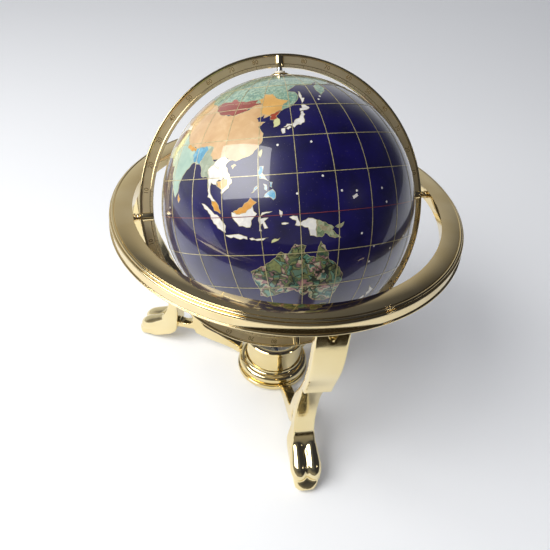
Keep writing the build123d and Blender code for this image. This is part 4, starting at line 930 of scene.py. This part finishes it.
ISLANDS = [
    (144.8, 13.4), (134.5, 7.5), (151.8, 7.4), (158.2, 6.9), (166, -22), (160, -9.5), (167, -15.5),
    (178, -17.8), (171, 7), (173, 1.5), (-172, -13.8), (-157, 20.5), (-149.5, -17.6), (-140, -9),
    (142.2, 27), (128, 26.5), (155, 50), (153, 48), (-176, 52), (72.5, 4), (55.5, -4.7), (57.5, -20.3),
    (-16, 28), (-25, 37.7), (-24, 15), (-91, -0.5), (-59, -51.7), (9, 40), (14, 37.5), (33, 35), (-61, 15),
    (-66, 18.3), (-77, 24), (69, -49), (-36, -54.5)]
DOT_DEGREES = 0.45
turn_round = np.radians(np.arange(0, 360, 30))
dots = []
for longitude, latitude in ISLANDS:
    wider = DOT_DEGREES / math.cos(math.radians(latitude))
    dots.append(inlay([(longitude + wider * math.cos(t), latitude + DOT_DEGREES * math.sin(t))
                       for t in turn_round], INLAY_RISE, 0.0))
globe_piece("island_dots", dots, STONES["mother_of_pearl"])
print("wires and islands made")

# %% [markdown]
# The bearings get a low domed cap at each pole, a rounded bead on each tilt pin, and another on the bush
# that the pin turns in. The polar pins and the washers keep their modelled shape.

# %% Caps, collars and flanges
CAP_FOOT, CAP_TOP, CAP_RADIUS, CAP_BORE = 109.63, 112.03, 9.0, 2.8
cap_section = ([(CAP_BORE, CAP_FOOT), (CAP_RADIUS, CAP_FOOT + 0.1), (CAP_RADIUS, CAP_FOOT + 1.0)]
               + arc((6.4, CAP_TOP - 1.5), 1.5, 40, 90, 5) + [(CAP_BORE, CAP_TOP)])
for end, direction in (("north", POLE), ("south", -POLE)):
    lathe(f"polar_cap_{end}", cap_section, CENTRE, direction, POLISHED_GOLD, "globe", "gold_plate",
          [f"{end}_cap"], steps=96)
PIN_RADIUS, PIN_START, PIN_END = 2.5, 122, 133.9
collar_section = ([(0, PIN_START), (PIN_RADIUS, PIN_START), (PIN_RADIUS, 128.3)]
                  + arc((1.9, 129.75), 1.43, -85, 85, 9)
                  + [(PIN_RADIUS, 131.3), (PIN_RADIUS, PIN_END), (0, PIN_END)])
BUSH_BORE, BUSH_RADIUS, BUSH_START, FLANGE_END, BUSH_END = 2.56, 3.3, 131.5, 134.0, 136.9
flange_section = ([(BUSH_BORE, BUSH_START)] + arc((2.3, 132.75), 1.3, -70, 70, 9)
                  + [(BUSH_RADIUS, FLANGE_END), (BUSH_RADIUS, BUSH_END), (BUSH_BORE, BUSH_END)])
for end, direction in (("east", EAST), ("west", -EAST)):
    lathe(f"tilt_pin_{end}", collar_section, CENTRE, direction, POLISHED_GOLD, "gimbal", "gold_plate",
          [f"{end}_pivot_pin"], closed=False, steps=64)
    lathe(f"bush_flange_{end}", flange_section, CENTRE, direction, POLISHED_GOLD, "stand", "bearing_brass",
          [f"{end}_pivot_bush"], steps=64)
print("bearings made")

# %% [markdown]
# The legs are castings, so they have no sharp edge anywhere. A copy of each leg is rebuilt from cells a
# little under a millimetre and smoothed, which rounds every edge as polishing does.

# %% Legs
CELL = 0.9 * MM
SMOOTH_STEPS = 9


def cast_leg(node, name):
    """Merge a copy of the leg, rebuild it in cells and smooth it, then keep the result as a plain mesh."""
    mesh = frame["nodes"][node].data.copy()
    work = bmesh.new()
    work.from_mesh(mesh)
    bmesh.ops.remove_doubles(work, verts=work.verts, dist=1e-6)
    work.to_mesh(mesh)
    work.free()
    rough = bpy.data.objects.new("rough_leg", mesh)
    scene.collection.objects.link(rough)
    cells = rough.modifiers.new("cells", "REMESH")
    cells.mode = "VOXEL"
    cells.voxel_size = CELL
    soft = rough.modifiers.new("soft", "SMOOTH")
    soft.factor = 0.5
    soft.iterations = SMOOTH_STEPS
    graph = bpy.context.evaluated_depsgraph_get()
    finished = bpy.data.meshes.new_from_object(rough.evaluated_get(graph))
    bpy.data.objects.remove(rough)
    finished.name = name
    finished.shade_smooth()
    return place_piece(name, finished, CAST_GOLD, "stand", [node])


for side in ("front", "left", "right"):
    leg = cast_leg(f"leg_{side}", f"cast_leg_{side}")
    print(leg.name, "faces:", len(leg.data.polygons))

# %% [markdown]
# The hub is turned: a thin plinth, a full bead, a cove, a plain body and a bezel that holds the glass.

# %% Hub
FOOT = np.zeros(3)
GOLD_HUB = {"material": CAST_GOLD, "body": "stand", "slot": "gold_plate", "steps": 192}
base_low, base_high = box_mm("hub_base")
CUP_TOP = box_mm("compass_cup")[1].z
DIAL_SEAT = box_mm("compass_dial")[0].z
bezel_low, bezel_high = box_mm("compass_bezel")
base_section = [(0, base_low.z), (base_high.x, base_low.z), (base_high.x, base_high.z), (0, base_high.z)]
lathe("hub_plinth", base_section, FOOT, UP, replaces=["hub_base"], closed=False, radius=0.9, **GOLD_HUB)
CUP_FOOT = base_high.z + 0.02
BODY_RADIUS, WELL_RADIUS = 29, 25.5
HUB_BEAD, COVE = 5.2, 4.0
cup_section = ([(0, CUP_FOOT), (31.3, CUP_FOOT)] + arc((31.3, base_high.z + HUB_BEAD), HUB_BEAD, -86, 86, 15)
               + arc((BODY_RADIUS + COVE, 20.4), COVE, 245, 180, 8)
               + [(BODY_RADIUS, CUP_TOP), (WELL_RADIUS, CUP_TOP), (WELL_RADIUS, DIAL_SEAT), (0, DIAL_SEAT)])
lathe("hub_body", cup_section, FOOT, UP, replaces=["compass_cup"], closed=False, **GOLD_HUB)
GLASS_OPENING, GLASS_SEAT, GLASS_TOP = 24, 26.5, 43.6
bezel_section = [(GLASS_OPENING, GLASS_TOP), (GLASS_OPENING, bezel_high.z), (bezel_high.x, bezel_high.z),
                 (bezel_high.x, bezel_low.z), (GLASS_SEAT, bezel_low.z), (GLASS_SEAT, GLASS_TOP)]
lathe("bezel_bead", bezel_section, FOOT, UP, replaces=["compass_bezel"], radius=2.4, **GOLD_HUB)
print("hub made")

# %% [markdown]
# Degree marks and numbers are cut in both faces of the meridian ring and filled with dark wax. A mark is a
# thin bar, long on the tens. The numbers run from 10 beside the equator to 80 beside a pole, four times
# round, because the bosses take the places of 0 and 90.

# %% Marks and numbers on the meridian ring


def bars(centre, right, up, angles, inner, outer, half_widths, low, high):
    """Thin bars pointing out from a centre: corners at centre + r (cos a . right + sin a . up) + w . side
    + h . normal, for r inner or outer, w either half width and h low or high, all in mm."""
    a = np.radians(angles)[:, None]
    outward = np.cos(a) * right + np.sin(a) * up
    side = -np.sin(a) * right + np.cos(a) * up
    normal = np.cross(right, up)
    ends = [np.broadcast_to(value, len(angles))[:, None] for value in (inner, outer)]
    half = np.broadcast_to(half_widths, len(angles))[:, None]
    corners = [centre + (outward * r + side * w + normal * h) * MM for h in (low, high)
               for r, w in ((ends[0], -half), (ends[1], -half), (ends[1], half), (ends[0], half))]
    box = np.array([(3, 2, 1, 0), (4, 5, 6, 7), (1, 5, 4, 0), (2, 6, 5, 1), (3, 7, 6, 2), (0, 4, 7, 3)])
    faces = (np.arange(len(angles))[:, None, None] * 8 + box[None]).reshape(-1, 4)
    return np.stack(corners, axis=1).reshape(-1, 3), faces.tolist()


LETTER_DEPTH = 0.02


def text_mesh(words, size_mm, font_weight=0.0):
    """A word as a very thin solid around its own middle, in metres: (points, faces)."""
    curve = bpy.data.curves.new("words", "FONT")
    curve.body = words
    curve.size = size_mm * MM
    curve.align_x = "CENTER"
    curve.align_y = "CENTER"
    curve.extrude = LETTER_DEPTH * MM
    curve.offset = font_weight * MM
    curve.resolution_u = 2
    written = bpy.data.objects.new("words", curve)
    mesh = bpy.data.meshes.new_from_object(written)
    points = np.array([vertex.co for vertex in mesh.vertices]).reshape(-1, 3)
    faces = [list(polygon.vertices) for polygon in mesh.polygons]
    bpy.data.objects.remove(written)
    bpy.data.meshes.remove(mesh)
    return points, faces


NUMBER_RADIUS = 123.0
NUMBER_SIZE, NUMBER_WEIGHT = 5.4, 0.03
MARK_INNER, LONG_MARK_INNER, MARK_OUTER = 118.2, 117.4, 119.4
MARK_HALF, LONG_MARK_HALF = 0.1, 0.18
MARK_LOW, MARK_HIGH = 2.585, 2.605
degrees = np.arange(0, 360, 2)
degrees = degrees[degrees % 90 != 0]
tens = degrees % 10 == 0
inner = np.where(tens, LONG_MARK_INNER, MARK_INNER)
half_widths = np.where(tens, LONG_MARK_HALF, MARK_HALF)
marks = []
for sign in (1, -1):
    marks.append(bars(CENTRE, EAST, POLE, degrees, inner, MARK_OUTER, half_widths, sign * MARK_LOW,
                      sign * MARK_HIGH))
    for angle in degrees[tens]:
        number = min(angle % 180, 180 - angle % 180)
        points, faces = text_mesh(str(number), NUMBER_SIZE, NUMBER_WEIGHT)
        outward = math.cos(math.radians(angle)) * EAST + math.sin(math.radians(angle)) * POLE
        normal = FRONT * sign
        start = CENTRE + (outward * NUMBER_RADIUS + normal * (RECESS + BAND_RISE)) * MM
        marks.append((start + points @ np.stack([np.cross(outward, normal), outward, normal]), faces))
points, faces = joined(marks)
make_piece("meridian_marks", points, faces, MARK_WAX, "gimbal")
print("marks and numbers made")

# %% [markdown]
# The compass has a white enamel dial with a ring of marks, an eight-pointed star and the four letters,
# under a flat glass. The needle turns on its own body, so it keeps its modelled shape and gets a finish of
# its own.

# %% Compass dial
PRINT_LOW, PRINT_HIGH = (box_mm("compass_dial")[1].z + rise for rise in (0.005, 0.03))
NORTH = np.array([0.0, 1.0, 0.0])


def star(points_count, long_mm, short_mm, first_angle):
    """A flat star: its corners are at r (cos a, sin a), with r long and short in turn."""
    a = np.radians(first_angle + np.arange(2 * points_count) * 180 / points_count)
    r = np.where(np.arange(2 * points_count) % 2 == 0, long_mm, short_mm) * MM
    rim = np.stack([r * np.cos(a), r * np.sin(a)], axis=1)
    count = len(rim)
    low = np.column_stack([rim, np.full(count, PRINT_LOW * MM)])
    high = np.column_stack([rim, np.full(count, PRINT_HIGH * MM)])
    middle = np.array([[0, 0, PRINT_LOW * MM], [0, 0, PRINT_HIGH * MM]])
    i = np.arange(count)
    j = (i + 1) % count
    faces = (np.stack([i, j, j + count, i + count], axis=1).tolist()
             + np.stack([j, i, np.full(count, 2 * count)], axis=1).tolist()
             + np.stack([i + count, j + count, np.full(count, 2 * count + 1)], axis=1).tolist())
    return np.concatenate([low, high, middle]), faces


LETTER_RADIUS, LETTER_SIZE = 17.2, 6.0
DIAL_MARKS = [(5, 21.6, 23.6, 0.09), (30, 20.6, 23.8, 0.2)]     # step in degrees, radii, half width
STARS = [(4, 13.5, 2.6, 0), (4, 9.0, 1.8, 45)]                  # points, long and short radius, first angle
print_parts = [bars(FOOT, EAST, NORTH, np.arange(0, 360, step), inner, outer, half, PRINT_LOW, PRINT_HIGH)
               for step, inner, outer, half in DIAL_MARKS]
print_parts += [star(*sizes) for sizes in STARS]
for letter, direction in (("N", NORTH), ("E", EAST), ("S", -NORTH), ("W", -EAST)):
    points, faces = text_mesh(letter, LETTER_SIZE)
    print_parts.append((points + (direction * LETTER_RADIUS + UP * PRINT_HIGH) * MM, faces))
points, faces = joined(print_parts)
make_piece("dial_print", points, faces, INK, "stand")
print("dial printed")

# %% [markdown]
# The nodes that keep their modelled shape get their finishes here.

# %% Finishes of the kept nodes
NODE_FINISH = {
    "leg_screws": STEEL, "hub_screws": STEEL, "foot_pad_front": FELT, "foot_pad_left": FELT,
    "foot_pad_right": FELT, "compass_glass": GLASS, "compass_dial": ENAMEL, "compass_post": BRASS,
    "north_pole_pin": STEEL, "south_pole_pin": STEEL, "core_north": RESIN, "core_south": RESIN,
    "core_joint_band": RESIN, "north_bush": BRASS, "south_bush": BRASS, "north_washer": NYLON,
    "south_washer": NYLON, "compass_needle": BLUED, "needle_jewel": BRASS,
}
for node, finish in NODE_FINISH.items():
    materials = frame["nodes"][node].data.materials
    if len(materials):
        for place in range(len(materials)):
            materials[place] = finish
    else:
        materials.append(finish)
print("kept nodes finished:", len(NODE_FINISH))

# %% [markdown]
# The studio is a white table, a large window light from the left, a small light from the right, and a sky
# that is pale on the far side and darker behind the camera, which is what polished gold needs to look like
# metal. A dark sheet on the near part of the table stands for the room, and only reflections show it.

# %% Floor, window and sky
TABLE = 3.0


def stage_plane(name, corners, material):
    """A flat sheet of the studio through the given corners."""
    mesh = bpy.data.meshes.new(name)
    mesh.from_pydata([tuple(corner) for corner in corners], [], [tuple(range(len(corners)))])
    mesh.materials.append(material)
    plane = bpy.data.objects.new(name, mesh)
    scene.collection.objects.link(plane)
    return plane


def toward(azimuth, elevation):
    """Unit vector (cos e cos a, cos e sin a, sin e) for an azimuth and an elevation in degrees."""
    a, e = math.radians(azimuth), math.radians(elevation)
    return np.array([math.cos(e) * math.cos(a), math.cos(e) * math.sin(a), math.sin(e)])


def rectangle(low_y, high_y, level):
    """Corners of a level rectangle as wide as the table."""
    return [(-TABLE, low_y, level), (TABLE, low_y, level), (TABLE, high_y, level), (-TABLE, high_y, level)]


def light_panel(name, corners, strength, colour):
    """A sheet that glows with one colour."""
    material = bpy.data.materials.new(name)
    material.use_nodes = True
    tree = material.node_tree
    tree.nodes.clear()
    glow = add_node(tree, "ShaderNodeEmission", {"Color": linear(colour), "Strength": strength})
    add_node(tree, "ShaderNodeOutputMaterial", {"Surface": glow.outputs["Emission"]})
    return stage_plane(name, corners, material)


table_finish = new_material("white_table_paper", Roughness=0.55, Specular_IOR_Level=0.2,
                            Base_Color=linear("#f3f4f5"), Emission_Color=linear("#eef2f6"),
                            Emission_Strength=0.1)[0]
stage_plane("table", rectangle(-TABLE, TABLE, 0), table_finish)

ROOM_COLOUR = "#2e2920"
DARK_EDGE = -0.34
DARK_HEIGHT = 0.002
dark_room = light_panel("dark_room", rectangle(-TABLE, DARK_EDGE, DARK_HEIGHT), 1.0, ROOM_COLOUR)
dark_room.visible_camera = False
dark_room.visible_diffuse = False
dark_room.visible_shadow = False
dark_room.visible_transmission = False

WINDOW_DISTANCE = 1.6
WINDOW_STRENGTH = 6.5
WINDOW_CORNERS = [(153, 38), (-167, 18), (-127, 36), (-166, 71)]
light_panel("window_light", [CENTRE + WINDOW_DISTANCE * toward(*corner) for corner in WINDOW_CORNERS],
            WINDOW_STRENGTH, "#ffffff")
SMALL_DISTANCE = 1.8
SMALL_STRENGTH = 10.0
small_middle = CENTRE + SMALL_DISTANCE * toward(-41, 26)
light_panel("small_light", [small_middle + SMALL_DISTANCE * 0.03 * np.array(offset) for offset in
                            ((-1, -1, 0), (1, 1, 0), (1, 1, 1.5), (-1, -1, 1.5))],
            SMALL_STRENGTH, "#fff8ec")

world = bpy.data.worlds.new("studio_sky")
scene.world = world
world.use_nodes = True
sky = world.node_tree
ray = add_node(sky, "ShaderNodeLightPath").outputs
direction = add_node(sky, "ShaderNodeTexCoord").outputs["Generated"]
height = add_node(sky, "ShaderNodeSeparateXYZ", {"Vector": direction}).outputs["Z"]


def sky_side(azimuth, elevation, low, high):
    """How far a view points to one side: the smooth range low..high of the cosine to that direction."""
    cosine = add_node(sky, "ShaderNodeVectorMath", {0: direction, 1: tuple(toward(azimuth, elevation))},
                      operation="DOT_PRODUCT").outputs["Value"]
    return new_range(sky, cosine, low, high, kind="SMOOTHSTEP")


far_colour = colour_ramp(sky, height, [(0.0, "#d4d6d8"), (0.45, "#c9c9c8"), (0.57, "#b0aeac"),
                                       (0.66, "#67676a"), (1.0, "#6e7076")])
near_colour = colour_ramp(sky, height, [(0.0, "#9a958c"), (0.3, "#7c7a76"), (0.55, "#44454b"),
                                        (1.0, "#6e7076")])
near_or_room = mixed_colours(sky, below(sky, height, 0.0), near_colour, linear(ROOM_COLOUR))
near_and_far = mixed_colours(sky, sky_side(72, 0, -0.35, 0.25), near_or_room, far_colour)
reflected = mixed_colours(sky, sky_side(-15, 25, 0.3, 0.75), near_and_far, linear("#34353d"))
FILL = 2.6
background = sky.nodes["Background"]
drive(sky, background, Color=mixed_colours(sky, ray["Is Camera Ray"], reflected, linear("#d9dcdf")),
      Strength=new_range(sky, ray["Is Diffuse Ray"], 0.0, 1.0, 1.0, FILL))
scene.view_settings.view_transform = "Standard"
print("studio made")
